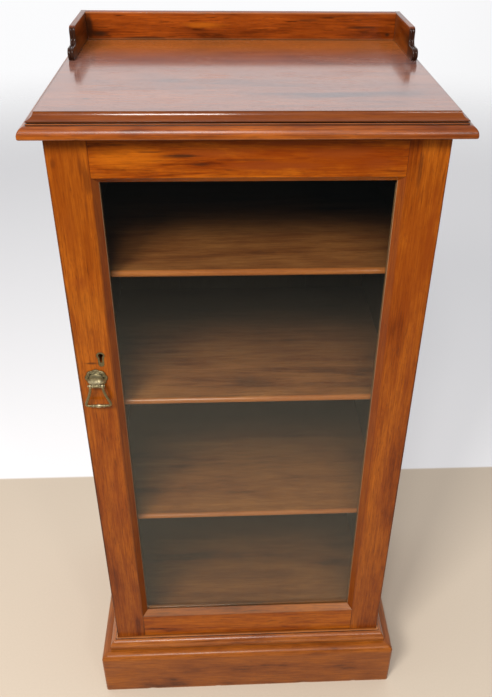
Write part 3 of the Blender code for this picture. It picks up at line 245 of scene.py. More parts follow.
def spot(wood, here, ragged, centre, reach):
    """1 in the middle of an ellipsoid and 0 outside it, with a border that a noise makes ragged."""
    away = wood.node("ShaderNodeVectorMath", {"operation": "SUBTRACT"}, {0: here, 1: centre})
    distance = wood.length(wood.stretch(away, tuple(1 / size for size in reach)))
    return 1.0 - wood.between(distance + ragged * 1.1 - 0.55, 0.25, 1.0)


def band(wood, here, axis, limits):
    """A soft band on one coordinate, which is counted outwards from the middle on X: 1 inside it and 0 outside."""
    place = wood.axis(here, axis)
    if axis == 0:
        place = place.math("ABSOLUTE", place, 0.0)
    share = wood.between(place, *limits[:2])
    return share * wood.between(place, *limits[2:]) if len(limits) > 2 else share


def walnut(name, run, light, ground, dark, seed=0.0, mottle=0.4, streak=0.5, dash=0.5, roughness=0.3, coat=0.3,
           coat_roughness=0.13, coat_ior=1.5, gloss=0.08, stains_and_shade=(), bands=(), arris=((0.62, 0.3, 0.13), 0.22),
           thin=()):
    """Polished walnut with its grain along one axis.

    A ramp takes a mixture of a long soft figure and a rounder mottle from the dark tone to the light one. Streaks,
    dashes and fibres are finer noises, stretched along the grain, and pores are the highest peaks of a very fine one.
    """
    wood = Finish(name, Coat_Roughness=coat_roughness, Coat_IOR=coat_ior, Specular_IOR_Level=gloss)
    here = wood.here()
    place = wood.node("ShaderNodeMapping", {}, {"Vector": here, "Rotation": GRAIN_TURN[run],
                                                "Location": (seed, seed * 1.7, seed * 0.6)})
    figure = wood.noise(place, (2.4, 26.0, 26.0), detail=5.0, roughness=0.55, distortion=0.8)
    cloud = wood.noise(place, (9.0, 19.0, 19.0), detail=5.0, roughness=0.62)
    streaks = wood.noise(place, (11.0, 110.0, 110.0), detail=5.0, roughness=0.62, distortion=0.6)
    dashes = wood.noise(place, (21.0, 330.0, 330.0), detail=4.0, roughness=0.6, distortion=0.25)
    fibre = wood.noise(place, (22.0, 620.0, 620.0), roughness=0.6)
    pores = wood.between(wood.noise(place, (90.0, 1300.0, 1300.0), detail=1.0), 0.6, 0.74)
    tone = figure * (1.0 - mottle) + cloud * mottle
    tone = tone + (streaks - 0.5) * (streak * 0.55) + (dashes - 0.5) * (dash * 0.35)
    middle = tuple((x + y) / 2 for x, y in zip(light, ground))
    stops = [(0.34, dark), (0.44, ground), (0.54, middle), (0.66, light)]
    colour = wood.node("ShaderNodeValToRGB", {"stops": stops}, {0: tone})
    colour = wood.mix(wood.between(streaks, 0.56, 0.72) * streak, colour, ground)
    colour = wood.mix(wood.between(dashes, 0.55, 0.7) * dash, colour, dark)
    colour = wood.mix(wood.between(1.0 - dashes, 0.56, 0.72) * (dash * 0.6), colour, light)
    colour = wood.mix(wood.between(fibre, 0.3, 0.7) * 0.8, colour, (0.6, 0.5, 0.42), "MULTIPLY")
    colour = wood.mix(pores * 0.5, colour, (0.045, 0.014, 0.006))
    ragged = wood.noise(place, (26.0, 60.0, 60.0), detail=4.0, roughness=0.65)
    # Stains, and in some lists painted shadows and painted shade as well.
    for centre, reach, tint, strength in stains_and_shade:
        colour = wood.mix(spot(wood, here, ragged, centre, reach) * strength, colour, tint)
    for axis, limits, tint, strength in bands:
        colour = wood.mix(band(wood, here, axis, limits) * strength, colour, tint)
    edge = wood.edge()
    # Hollows darker: partly dark polish, partly painted shade in the quirks, under the cornice and at the bead's
    # foot.
    colour = wood.mix(wood.between(0.0 - edge, 0.03, 0.5) * 0.9, colour, (0.022, 0.007, 0.003))
    colour = wood.mix(wood.between(edge, 0.2, 1.0) * arris[1], colour, arris[0])
    wood.feed("Base Color", colour)
    wood.feed("Roughness", fibre * 0.12 + cloud * 0.14 + (roughness - 0.12))
    polish = coat - wood.between(cloud, 0.5, 0.75) * (coat * 0.3)
    for axis, limits, share in thin:
        polish = polish * (1.0 - band(wood, here, axis, limits) * share)
    wood.feed("Coat Weight", polish)
    sway = wood.bump(wood.noise(place, (5.0, 9.0, 9.0)), 0.004, 0.25)
    wood.feed("Normal", wood.bump(fibre - pores * 1.2, 0.00008, 0.6, under=sway))
    return wood


# %% Tones, stains and bands
HONEY, AMBER, UMBER = (0.41, 0.112, 0.005), (0.235, 0.047, 0.002), (0.085, 0.013, 0.0012)
TAWNY, RUSSET, SHADE = (0.31, 0.08, 0.007), (0.16, 0.034, 0.003), (0.05, 0.01, 0.002)
BLACK, RED, DUST_AND_SHEEN, PAINTED_SHADE = (0.03, 0.01, 0.004), (0.16, 0.03, 0.004), (0.2, 0.15, 0.09), (0.02, 0.009, 0.005)
BLOOM = (0.42, 0.43, 0.52)
DEEP = 0.05


def upright(depth, *rows):
    """Stains and painted shade on an upright face: rows of x, z, reach across and up in mm, then tint and strength.
    """
    return [((x / 1000, depth, z / 1000), (across / 1000, DEEP, tall / 1000), tint, strength)
            for x, z, across, tall, tint, strength in rows]


# Along the stiles' outer edges run two long dark lines, partly dirt and partly painted shade on the rounded arrises.
stile_stains_and_shade = upright(
    FRONT, (-203, 1050, 6, 30, BLACK, 0.65), (-209, 1068, 3.5, 18, BLACK, 0.5), (-241, 1072, 5, 9, BLACK, 0.5),
    (-207, 1015, 2.8, 35, BLACK, 0.35), (-232, 985, 14, 45, RED, 0.35), (-228, 905, 18, 16, RED, 0.45),
    (-229, 772, 13, 2.6, BLACK, 0.7), (-218, 500, 10, 100, RED, 0.25), (240, 960, 9, 100, RED, 0.5),
    (236, 760, 4, 120, RED, 0.35), (214, 1060, 4, 40, BLACK, 0.45), (222, 500, 4, 160, RED, 0.3),
    (-250, 620, 4, 1000, BLACK, 0.75), (250, 620, 3.6, 1000, BLACK, 0.6), (-198.5, 600, 3, 900, BLACK, 0.4),
    (198.5, 600, 2.2, 900, RED, 0.4), (-197.3, 1080, 2, 60, RED, 0.8), (197.3, 1080, 2, 60, RED, 0.8),
    (-197.3, 155, 2.2, 45, BLACK, 0.6), (197.3, 155, 2.2, 45, BLACK, 0.5))
# A black spot deep in the keyhole: painted shade inside it.
stile_stains_and_shade.append(((-0.2137, FRONT + 0.012, 0.781), (0.006, 0.014, 0.014), BLACK, 1.0))
stile_stains_and_shade += upright(
    FRONT, (224, 930, 40, 150, (0.16, 0.027, 0.0015), 0.62), (-222, 270, 40, 110, UMBER, 0.14),
    (-222, 865, 30, 50, (0.48, 0.16, 0.012), 0.1), (-221, 1030, 50, 160, (0.15, 0.03, 0.0015), 0.55))
rail_stains = upright(
    FRONT, (-150, 1081, 70, 22, (0.46, 0.125, 0.004), 0.28), (80, 1078, 220, 30, (0.14, 0.019, 0.0006), 0.66),
    (-45, 1085, 70, 10, RED, 0.75), (30, 1068, 90, 8, RED, 0.75), (110, 1084, 60, 11, RED, 0.65),
    (-85, 1081.5, 34, 3, BLACK, 0.85), (-60, 1070.5, 18, 3, BLACK, 0.6), (160, 1070, 30, 10, RED, 0.5),
    (-120, 1086.5, 20, 1.6, BLACK, 0.5), (-165, 1095.5, 18, 1.6, BLACK, 0.5), (55, 1097, 60, 3.5, RED, 0.8),
    (-10, 1076, 50, 2, BLACK, 0.35))
# The first two stains, in the left corner, are painted shadow that the left end casts on the rail.
gallery_stains_and_shade = upright(
    span("gallery_rail")[0][1], (-222, 1146.5, 16, 5.5, BLACK, 0.95), (-238, 1158, 8, 30, BLACK, 0.8),
    (-150, 1140.5, 60, 3, BLACK, 0.75), (-80, 1150, 50, 3, RED, 0.5), (231, 1146.5, 5.5, 4, BLACK, 0.95),
    (195, 1157, 35, 2.8, BLACK, 0.75), (150, 1150, 45, 3.5, RED, 0.6), (100, 1167.5, 30, 3.5, BLACK, 0.55),
    (145, 1172.5, 30, 2, BLACK, 0.5), (0, 1139, 300, 1.6, BLACK, 0.7), (-20, 1176, 240, 2.2, RED, 0.5),
    (-60, 1160, 45, 6, HONEY, 0.35))
top_stains = [((x / 1000, y / 1000, TOP_HIGH), (across / 1000, deep / 1000, 0.02), tint, strength)
              for x, y, across, deep, tint, strength in (
                  (-50, 90, 70, 22, BLACK, 0.4), (-30, 165, 80, 16, BLACK, 0.75), (-100, -45, 35, 14, BLACK, 0.35),
                  (80, -10, 70, 16, RED, 0.4), (-190, 100, 30, 30, BLACK, 0.35), (-200, -128, 5, 3, BLACK, 0.8),
                  (236, 178, 8, 12, BLACK, 0.8))]
SIGHT = span("glazing_bead_bottom")[1][2]
shelf_nose, end_front = span("shelf_lower")[0][1], span("gallery_end_left")[0][1]
# On the stiles: the inner bevel is darkened, which is painted shade, and a thin line of dust runs at the sight edge.
stile_bands_and_shade = [(0, (0.1893, 0.19, 0.1985, 0.1975), UMBER, 0.45), (0, (0.1886, 0.1889, 0.1896, 0.1893), DUST_AND_SHEEN, 0.75)]
# On the rails: dust on the bottom rail's bevel, which is also a painted sheen; a painted shadow of the cornice along
# the top rail's upper edge; and the bottom rail darker along its lowest 4 mm.
rail_bands_and_shade = [(2, (SIGHT - 0.0102, SIGHT - 0.009, SIGHT + 0.001, SIGHT), DUST_AND_SHEEN, 0.3),
              (2, (DOOR_HIGH - 0.01, DOOR_HIGH - 0.001), BLACK, 0.75),
              (2, (DOOR_LOW + 0.004, DOOR_LOW), BLACK, 0.7)]
# On the top: the whole worked edge is darker than the flat top, a painted dark reflection; a faint bloom lies on the
# flat top; and a warm band towards the back is a painted reflection of the gallery rail.
top_bands_and_reflections = [(2, (TOP_HIGH - 0.0009, TOP_HIGH - 0.0012), (0.12, 0.026, 0.004), 0.55),
             (2, (TOP_HIGH - 0.0001, TOP_HIGH - 0.00002), BLOOM, 0.1),
             (1, (0.06, 0.15), (0.35, 0.093, 0.003), 0.72)]
top_thin = [(2, (TOP_HIGH - 0.0004, TOP_HIGH - 0.0009), 0.45), (1, (0.075, 0.15), 0.25),
            (2, (TOP_LOW + 0.008, TOP_LOW + 0.006), 0.45)]
# Painted shade on the shelves, darker towards the back and towards the sides, and a painted highlight on the nose.
shelf_painted_light = [(1, (FRONT + 0.04, FRONT + 0.31), PAINTED_SHADE, 0.94), (0, (HALF - 0.11, HALF - 0.02), PAINTED_SHADE, 0.45),
               (1, (shelf_nose + 0.006, shelf_nose + 0.0035), (0.64, 0.16, 0.025), 0.3)]
print("stains:", sum(map(len, (stile_stains_and_shade, rail_stains, gallery_stains_and_shade, top_stains))))

# %% Walnut finishes
finishes = {
    "stile": walnut("door_walnut_upright", "Z", (0.355, 0.096, 0.006), (0.205, 0.042, 0.002), UMBER, seed=0.3,
                    mottle=0.35, streak=0.25, dash=0.6, stains_and_shade=stile_stains_and_shade, bands=stile_bands_and_shade),
    "rail": walnut("door_walnut_across", "X", HONEY, AMBER, UMBER, seed=1.9, streak=0.8, dash=0.7,
                   stains_and_shade=rail_stains, bands=rail_bands_and_shade),
    "side": walnut("side_walnut", "Z", TAWNY, RUSSET, SHADE, seed=6.3, mottle=0.25,
                   bands=[(0, (HALF - 0.009, HALF - 0.01), (0.012, 0.006, 0.004), 0.95)]),
    # The top's arris is tinted dark: a painted dark reflection.
    "top": walnut("top_walnut", "X", (0.3, 0.088, 0.018), (0.17, 0.044, 0.009), (0.06, 0.015, 0.008), seed=7.7,
                  roughness=0.24, coat=0.78, coat_roughness=0.11, coat_ior=1.55, stains_and_shade=top_stains, bands=top_bands_and_reflections,
                  arris=((0.05, 0.014, 0.004), 0.7), thin=top_thin),
    "gallery_x": walnut("gallery_walnut_across", "X", (0.285, 0.057, 0.005), (0.148, 0.027, 0.003),
                        (0.042, 0.007, 0.001), seed=8.9, streak=0.8, dash=0.9, coat=0.12, gloss=0.04,
                        stains_and_shade=gallery_stains_and_shade),
    "gallery_y": walnut("gallery_walnut_deep", "Y", (0.22, 0.05, 0.004), (0.1, 0.019, 0.002), SHADE, seed=9.7,
                        dash=0.6, coat=0.5, coat_roughness=0.1,
                        # The band makes the front of each end nearly black.
                        bands=[(1, (end_front + 0.036, end_front + 0.0335), (0.02, 0.006, 0.003), 0.92)]),
    "shelf": walnut("shelf_walnut", "X", (0.41, 0.155, 0.044), (0.24, 0.075, 0.02), (0.08, 0.024, 0.008), seed=2.3,
                    streak=0.3, dash=0.25, roughness=0.42, coat=0.55, coat_roughness=0.22, bands=shelf_painted_light),
}
for name, light, ground, seeds, settings in (
        ("moulding", TAWNY, RUSSET, (3.1, 4.7), dict(coat=0.62, coat_roughness=0.3, gloss=0.12)),
        # The bead's walnut is a lighter copy of the moulding's: a painted highlight.
        ("bead", (0.42, 0.135, 0.022), (0.24, 0.064, 0.01), (3.6, 3.9),
         dict(coat=0.8, coat_roughness=0.26, gloss=0.12)),
        ("plinth", (0.345, 0.1, 0.01), (0.21, 0.052, 0.005), (5.3, 5.9),
         dict(mottle=0.6, streak=0.25, dash=0.35, coat=0.5, coat_roughness=0.28, gloss=0.05))):
    for run, way, seed in zip("xy", ("across", "deep"), seeds):
        finishes[f"{name}_{run}"] = walnut(f"{name}_walnut_{way}", run.upper(), light, ground, SHADE, seed=seed,
                                           **settings)
print("walnut finishes:", len(finishes))

# %% [markdown]
# The back, the packing and the glue blocks are bare pine, which nobody was meant to see. It is pale and dull outside.
# The inner face of the back is made nearly black by a mask on the depth coordinate of the back boards.

# %% Pine, bare outside and dark inside
def pine(name, run, dark_before=None):
    """Old pine: pale ground, strong brown growth lines, dull. Faces in front of a depth are made dark."""
    wood = Finish(name, Specular_IOR_Level=0.3)
    here = wood.here()
    place = wood.node("ShaderNodeMapping", {}, {"Vector": here, "Rotation": GRAIN_TURN[run]})
    figure = wood.noise(place, (1.2, 11.0, 11.0), detail=3.0, distortion=0.4)
    rings = wood.node("ShaderNodeMath", {"operation": "SINE"}, {0: figure * 95.0}) * 0.5 + 0.5
    fibre = wood.noise(place, (12.0, 300.0, 300.0))
    soil = wood.between(wood.noise(place, (3.0, 5.0, 5.0), detail=4.0), 0.45, 0.75)
    colour = wood.mix(rings ** 2.0 * 0.6, (0.48, 0.32, 0.16), (0.36, 0.2, 0.08))
    colour = wood.mix(fibre * 0.5, colour, (0.62, 0.52, 0.42), "MULTIPLY")
    colour = wood.mix(soil * 0.45, colour, (0.16, 0.1, 0.06))
    if dark_before is not None:
        inside = 1.0 - wood.between(wood.axis(here, 1), dark_before, dark_before + 0.001)
        colour = wood.mix(inside * 0.95, colour, (0.018, 0.009, 0.005))
    wood.feed("Base Color", colour)
    wood.feed("Roughness", 0.6 + fibre * 0.25)
    wood.feed("Normal", wood.bump(fibre + rings * 0.4, 0.0003, 0.6))
    return wood


finishes["pine_x"] = pine("pine_across", "X")
finishes["pine_z"] = pine("pine_upright", "Z")
finishes["back"] = pine("pine_back", "Z", dark_before=span("back_board_1")[1][1] - 0.0015)
print("pine finishes done")

# %% [markdown]
# Old cast brass is dull green brown where it is never touched, and brighter where fingers and cloths rub it. The edge
# attribute drives that again. Steel is used for the lock alone.

# %% Metals
def metal(name, bright, dull, tarnish, roughness):
    """Cast metal: tarnish in clouds and in hollows, bright on the rubbed edges."""
    cast = Finish(name, Metallic=1.0)
    here = cast.here()
    clouds = cast.between(cast.noise(here, scale=420.0, detail=4.0, roughness=0.6), 0.35, 0.7)
    grit = cast.noise(here, scale=2600.0)
    edge = cast.edge()
    hollow, rubbed = cast.between(0.0 - edge, 0.05, 0.8), cast.between(edge, 0.15, 0.9)
    colour = cast.mix(clouds * 0.7, dull, tarnish)
    colour = cast.mix(rubbed, colour, bright)
    cast.feed("Base Color", cast.mix(hollow * 0.7, colour, (0.045, 0.038, 0.02)))
    cast.feed("Roughness", roughness + clouds * 0.18 - rubbed * 0.1)
    cast.feed("Normal", cast.bump(grit, 0.00006, 0.5))
    return cast


finishes["brass"] = metal("old_brass", (0.66, 0.56, 0.34), (0.38, 0.315, 0.165), (0.21, 0.175, 0.092), 0.46)
finishes["steel"] = metal("lock_steel", (0.62, 0.62, 0.6), (0.33, 0.33, 0.33), (0.16, 0.13, 0.11), 0.36)
print("metals done")

# %% [markdown]
# The glass is old sheet glass: clear, faintly green, and slightly wavy. In a picture it is a mixture. Most light goes
# straight through, and a share is reflected: 4% where one looks straight at it, and more at a slant. That share is
# worked out from the slant with Schlick's formula, because a Fresnel node turns the pane's back face into a full
# mirror where light passes straight through without bending. Mixing a transparent shader with a glossy Principled one
# lets the room's light reach the shelves as well.

# %% Glass
def sheet_glass(name):
    """Transparent and mirror-like shaders mixed by the slant, with a slow ripple in the reflection."""
    pane = Finish(name, Metallic=1.0, Roughness=0.03, Base_Color=(0.92, 0.95, 0.93, 1))
    ripple = pane.bump(pane.noise(pane.here(), (5.0, 5.0, 2.2), detail=1.0), 0.006, 0.12)
    pane.feed("Normal", ripple)
    clear = pane.node("ShaderNodeBsdfTransparent", {}, {"Color": (0.9, 0.93, 0.91, 1)})
    grazing = pane.node("ShaderNodeLayerWeight", {}, {"Normal": ripple}, output=1)
    both = pane.node("ShaderNodeMixShader", {}, {
        0: grazing ** 5.0 * 0.96 + 0.04, 1: clear, 2: Wire(pane.tree, pane.shader.outputs[0])})
    pane.tree.links.new(both.socket, pane.tree.nodes["Material Output"].inputs["Surface"])
    return pane


finishes["glass"] = sheet_glass("sheet_glass")
print("glass done")

# %% [markdown]
# Every CAD piece keeps its mesh and gets one of these finishes. A Weld and a Bevel modifier ease the arrises of the
# joinery, because a real arris is never sharp and always catches a line of light.

# %% Dress the CAD pieces
DRESS = {
    "stile": "door_stile_lock door_stile_hinge glazing_bead_left glazing_bead_right",
    "rail": "door_rail_top door_rail_bottom glazing_bead_top glazing_bead_bottom",
    "side": "side_left side_right",
    "shelf": "bottom_board shelf_lower shelf_middle shelf_upper top_rail_front top_rail_back",
    "pine_x": "base_rail plinth_packing_left plinth_packing_right",
    "pine_z": "glue_block_left glue_block_centre glue_block_right",
    "back": "back_board_1 back_board_2 back_board_3 back_board_4",
    "glass": "glass_pane", "steel": "lock_case",
    "brass": "escutcheon lock_bolt strike_plate hinge_leaf_carcass_upper hinge_leaf_carcass_lower "
             "hinge_leaf_door_upper hinge_leaf_door_lower hinge_pin_upper hinge_pin_lower handle_backplate "
             "handle_pin handle_bail",
    "plinth_x": "plinth_front", "plinth_y": "plinth_left plinth_right",
    "bead_x": "plinth_bead_front", "bead_y": "plinth_bead_left plinth_bead_right",
    "moulding_x": "cornice_front", "moulding_y": "cornice_left cornice_right", "top": "top_board",
    "gallery_x": "gallery_rail", "gallery_y": "gallery_end_left gallery_end_right",
}
EASED = {"stile": 0.0006, "rail": 0.0006, "side": 0.0008, "shelf": 0.0004}


def dress(node, finish_name):
    """Gives a CAD piece its finish, and eases the arrises of joinery."""
    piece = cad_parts[node]
    piece.data.materials.clear()
    piece.data.materials.append(finishes[finish_name].material)
    if finish_name in EASED:
        weld = piece.modifiers.new("weld", "WELD")
        weld.merge_threshold = 0.00002
        easing = piece.modifiers.new("eased arrises", "BEVEL")
        easing.width = EASED[finish_name]
        easing.segments = 2
        easing.angle_limit = np.radians(40)


dressed = [(node, finish_name) for finish_name, nodes in DRESS.items() for node in nodes.split()]
for pair in dressed:
    dress(*pair)
print("CAD pieces dressed:", len(dressed))

# %% [markdown]
# The mouldings were planed along their length with a shaped iron, so each is one outline carried along a straight
# line. In Blender this could be a curve with a bevel object. Here it is worked out as a grid: one row for each point
# of the outline and one column for each step along the moulding, which makes the mitres exact, because every point of
# the outline has its own start and end. The outline's corners are rounded first, because an old arris is never sharp.

# %% Outlines
def arc(centre, radii, start, end, count):
    """Points of an ellipse's arc: the centre plus the radii times the cosine and sine of evenly spaced angles."""
    turn = np.radians(np.linspace(start, end, count))
    return centre + radii * np.stack([np.cos(turn), np.sin(turn)], axis=1)


def outline(*parts):
    """Joins corners and arcs into one closed outline, counterclockwise."""
    ring = np.concatenate([np.atleast_2d(np.asarray(part, float)) for part in parts])
    after = np.roll(ring, -1, axis=0)
    area = np.sum(ring[:, 0] * after[:, 1] - after[:, 0] * ring[:, 1]) / 2
    return ring if area > 0 else ring[::-1]


def eased(ring, radius, steps=4):
    """Rounds every corner of a closed outline.

    Each corner becomes a quadratic curve that leaves the edge before it and joins the edge after it at the radius, or
    at nearly half the edge where the edge is short.
    """
    before, after = np.roll(ring, 1, axis=0) - ring, np.roll(ring, -1, axis=0) - ring
    start, end = (ring + way * np.minimum(radius / np.maximum(np.linalg.norm(way, axis=1), 1e-9), 0.45)[:, None]
                  for way in (before, after))
    t = np.linspace(0, 1, steps)[None, :, None]
    curve = (1 - t) ** 2 * start[:, None] + 2 * t * (1 - t) * ring[:, None] + t ** 2 * end[:, None]
    return filled(curve.reshape(-1, 2), 0.003)


def filled(ring, step):
    """Splits edges longer than a step into equal parts, so that what belongs to a corner stays near it."""
    along = np.roll(ring, -1, axis=0) - ring
    counts = np.maximum(np.ceil(np.linalg.norm(along, axis=1) / step), 1).astype(int)
    edge = np.repeat(np.arange(len(ring)), counts)
    share = (np.arange(counts.sum()) - (np.cumsum(counts) - counts)[edge]) / counts[edge]
    return ring[edge] + along[edge] * share[:, None]


def sideways(ways):
    """Unit vectors square to the given ones, to their right."""
    return np.stack([ways[:, 1], -ways[:, 0]], axis=1) / np.linalg.norm(ways, axis=1)[:, None]


def wear(ring, spread):
    """How much a closed outline turns near each point: plus on an arris, minus in a hollow.

    The turn at every corner is shared with its neighbours by a bell curve of their distance along the outline.
    """
    along = np.roll(ring, -1, axis=0) - ring
    back = np.roll(along, 1, axis=0)
    turn = np.arctan2(back[:, 0] * along[:, 1] - back[:, 1] * along[:, 0], np.sum(back * along, axis=1))
    place = np.concatenate([[0], np.cumsum(np.linalg.norm(along, axis=1))])
    apart = np.abs(place[:-1, None] - place[None, :-1])
    apart = np.minimum(apart, place[-1] - apart)
    return np.clip(np.exp(-(apart / spread) ** 2) @ turn / 1.2, -1, 1)


print("a square's corners turn by", np.round(wear(np.array([(0, 0), (1, 0), (1, 1), (0, 1.0)]), 0.1), 2))

# %% Grids of points as meshes
def grid_faces(rows, columns, ring):
    """Quads of a grid that is closed along its rows, and along its columns too where it is a ring."""
    row, column = np.meshgrid(np.arange(rows), np.arange(columns if ring else columns - 1), indexing="ij")
    below, after = (row + 1) % rows, (column + 1) % columns
    corners = [row * columns + column, below * columns + column, below * columns + after, row * columns + after]
    return np.stack(corners, axis=-1).reshape(-1, 4)


def volume_of(points, quads, caps):
    """Signed volume of a closed mesh: a sixth of the sum, over its faces' triangles, of their triple products."""
    a, b, c, d = (points[quads[:, corner]] for corner in range(4))
    total = np.sum(np.cross(a, b) * c) + np.sum(np.cross(a, c) * d)
    for cap in caps:
        total += np.sum(np.cross(points[cap[1:-1]], points[cap[2:]]) @ points[cap[0]])
    return total / 6


def stacked(*axes):
    """Points from their three coordinates, each given as whatever shape it varies over."""
    return np.stack(np.broadcast_arrays(*axes), axis=-1)


def add_piece(name, parts, finish_name, body, stands_for=(), smooth=50):
    """Makes one piece of closed tubes and rings.

    Each part is a grid of points that is closed along its rows, its edge values, which are wear and in some hollows
    painted shade, and whether its columns close too. Where they don't, flat caps close the first and the last column.
    A part that is inside out is turned round.
    """
    points, faces, values, offset = [], [], [], 0
    for grid, edge_values, ring in parts:
        rows, columns = grid.shape[:2]
        flat = np.ascontiguousarray(grid).reshape(-1, 3)
        quads, first = grid_faces(rows, columns, ring), np.arange(rows) * columns
        caps = [] if ring else [first[::-1], first + columns - 1]
        turn = -1 if volume_of(flat, quads, caps) < 0 else 1
        faces += (quads[:, ::turn] + offset).tolist() + [(cap[::turn] + offset).tolist() for cap in caps]
        points.append(flat)
        values.append(np.broadcast_to(edge_values, (rows, columns)).reshape(-1))
        offset += len(flat)
    mesh = bpy.data.meshes.new(name)
    mesh.from_pydata(np.concatenate(points), [], faces)
    edge_values = np.concatenate(values).astype(np.float32)
    mesh.attributes.new("edge", "FLOAT", "POINT").data.foreach_set("value", edge_values)
    mesh.shade_smooth()
    mesh.set_sharp_from_angle(angle=np.radians(smooth))
    mesh.materials.append(finishes[finish_name].material)
    piece = put(name, mesh)
    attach(piece, body)
    if stands_for:
        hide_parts(*stands_for)


# %% Mouldings with mitred corners
MITRE_GAP, UNEVEN, DENT_SIZE = 0.00015, 0.00016, 0.003
NEAR_MITRE = np.linspace(0, 0.014, 15)
STEPS_ALONG = np.concatenate([NEAR_MITRE, np.linspace(0.0165, 0.9835, 151), 1 - NEAR_MITRE[::-1]])


def ripple(length, seed):
    """A slow unevenness from 0 to 1: the mean of five sines, each with its own pace."""
    pace = np.array([7.0, 13.0, 23.0, 41.0, 67.0])[:, None]
    phase = np.array([1.0, 2.7, 4.1, 5.9, 0.4])[:, None] * (1 + seed)
    return 0.5 + 0.5 * np.mean(np.sin(pace * length[None, :] + phase), axis=0)


def dented(points, dents, ring):
    """Pushes small hollows into a moulding: each is a bell of a depth and a width round a place on it."""
    for along, projection, height, width, depth in dents:
        away = ((points[..., 0] - along) / width) ** 2
        near = ((ring[:, 0] - projection) ** 2 + (ring[:, 1] - height) ** 2) / DENT_SIZE ** 2
        fall = depth * np.exp(-away - near[:, None])
        points[..., 1] += fall
        points[..., 2] -= np.sign(height - ring[:, 1].mean()) * fall * 0.5
    return points


def rounded_end(away, radius):
    """Half of a rounded corner: how far a point moves along the moulding and inwards near the mitre.

    Up to a radius from the corner the line bends on a circle, and it has turned by 45 degrees where it meets the
    mitre.
    """
    turn = np.radians(45) * np.clip(1 - away / radius, 0, 1)
    return np.clip(radius - away, 0, radius) - radius * np.sin(turn), radius * (1 - np.cos(turn))


def moulding(name, node, ring, edge_values, run, finish_name, seed, dents, corner):
    """A mitred moulding on the front, the left or the right.

    A point of the outline has a projection p from the front, or from a side, and a height. On the front its line runs
    from -(half width + p) to half width + p at the depth front - p. On a side it runs from front - p to the back at
    half width + p. Its projection shrinks a little along the line by a slow ripple, which fades out at the mitres.
    The outer points round the corner, and the inner ones, which touch the carcass, don't.
    """
    (p, height), share = ring.T, STEPS_ALONG
    round_by = corner * np.clip((p - p.min() - 0.001) / 0.004, 0, 1)[:, None] + 1e-6
    fade = np.clip(np.minimum(share, 1 - share) * 12, 0, 1)
    shrink = UNEVEN * ripple(share * 1.7, seed) * fade * (p > p.min() + 0.0005)[:, None]
    if run == "front":
        reach = (HALF + p - MITRE_GAP)[:, None]
        x = -reach + 2 * reach * share
        back_by, inwards = rounded_end(reach - np.abs(x), round_by)
        x = x - np.sign(x) * back_by
        y = (FRONT - p)[:, None] + shrink + inwards
    else:
        start = (FRONT - p + MITRE_GAP)[:, None]
        y = start + (BACK - start) * share
        back_by, inwards = rounded_end(y - start, round_by)
        y = y + back_by
        x = (-1 if run == "left" else 1) * ((HALF + p)[:, None] - shrink - inwards)
    points = dented(stacked(x, y, height[:, None]), dents, ring)
    add_piece(name, [(points, edge_values[:, None], False)], finish_name, "carcass", [node])


def three_runs(name, node, section, finish_name, seed, knocks=(), corner=0.0012):
    """The front, left and right lengths of a moulding. The section's inner side lies where the CAD piece has it."""
    for number, run in enumerate(("front", "left", "right")):
        front = run == "front"
        ring, edge_values = section(FRONT - span(node + "_front")[1][1] if front else span(node + "_right")[0][0] - HALF)
        moulding(f"{name}_{run}", f"{node}_{run}", ring, edge_values, run, finish_name + ("_x" if front else "_y"),
                 number + seed, knocks if front else (), corner)


# %% Plinth boards
plinth_low, plinth_high = span("plinth_front")
PLINTH_OUT, PLINTH_IN = FRONT - plinth_low[1], FRONT - plinth_high[1]
PLINTH_ARRIS = 0.012


def plinth_section(inner):
    """A board with a rounded top arris. It is as thick at the sides as at the front, so it needs no inner side."""
    top = arc((PLINTH_OUT - PLINTH_ARRIS, PLINTH_HIGH - PLINTH_ARRIS), PLINTH_ARRIS, 0, 90, 10)
    ring = eased(outline((PLINTH_IN, 0), (PLINTH_OUT, 0), top, (PLINTH_IN, PLINTH_HIGH)), 0.0009)
    return ring, wear(ring, 0.003)


knocks = [(-0.19, PLINTH_OUT, 0.001, 0.006, 0.0008), (0.11, PLINTH_OUT, 0.001, 0.009, 0.0007),
          (0.21, PLINTH_OUT, 0.002, 0.004, 0.0009), (-0.06, PLINTH_OUT, 0.001, 0.004, 0.0006)]
three_runs("plinth_board", "plinth", plinth_section, "plinth", 0.2, knocks, corner=0.005)
print("plinth stands out by", round(PLINTH_OUT * 1000, 1), "mm")

# %% [markdown]
# On the plinth sits a bead: a bold round that turns under at its foot, with a small flat fillet above it. Its foot
# and the corner under the fillet are darkened, partly for dark polish and partly as painted shade. Its walnut is a
# lighter copy of the moulding's, a painted highlight on the round.

# %% Bead on the plinth
BEAD_OUT = FRONT - span("plinth_bead_front")[0][1]
BEAD_FILLET = (0.0028, 0.0015)
BEAD_ROUND = 0.014


def bead_section(inner):
    """Fillet and quarter ellipse; the ellipse starts below its middle, so that the foot turns under."""
    foot = BEAD_HIGH - BEAD_FILLET[1] - BEAD_ROUND
    under = -np.degrees(np.arcsin((foot - BEAD_LOW) / BEAD_ROUND))
    swell = arc((BEAD_FILLET[0], foot), (BEAD_OUT - BEAD_FILLET[0], BEAD_ROUND), under, 90, 26)
    ring = eased(outline((inner, BEAD_LOW), swell, (BEAD_FILLET[0], BEAD_HIGH), (inner, BEAD_HIGH)), 0.0004)
    # The foot is darkened: painted shade in the gap over the plinth, with dark polish.
    return ring, np.where(ring[:, 1] < BEAD_LOW + 0.0016, -0.4, wear(ring, 0.0012))


three_runs("plinth_bead_round", "plinth_bead", bead_section, "bead", 2.4)
print("bead stands out by", round(BEAD_OUT * 1000, 1), "mm")

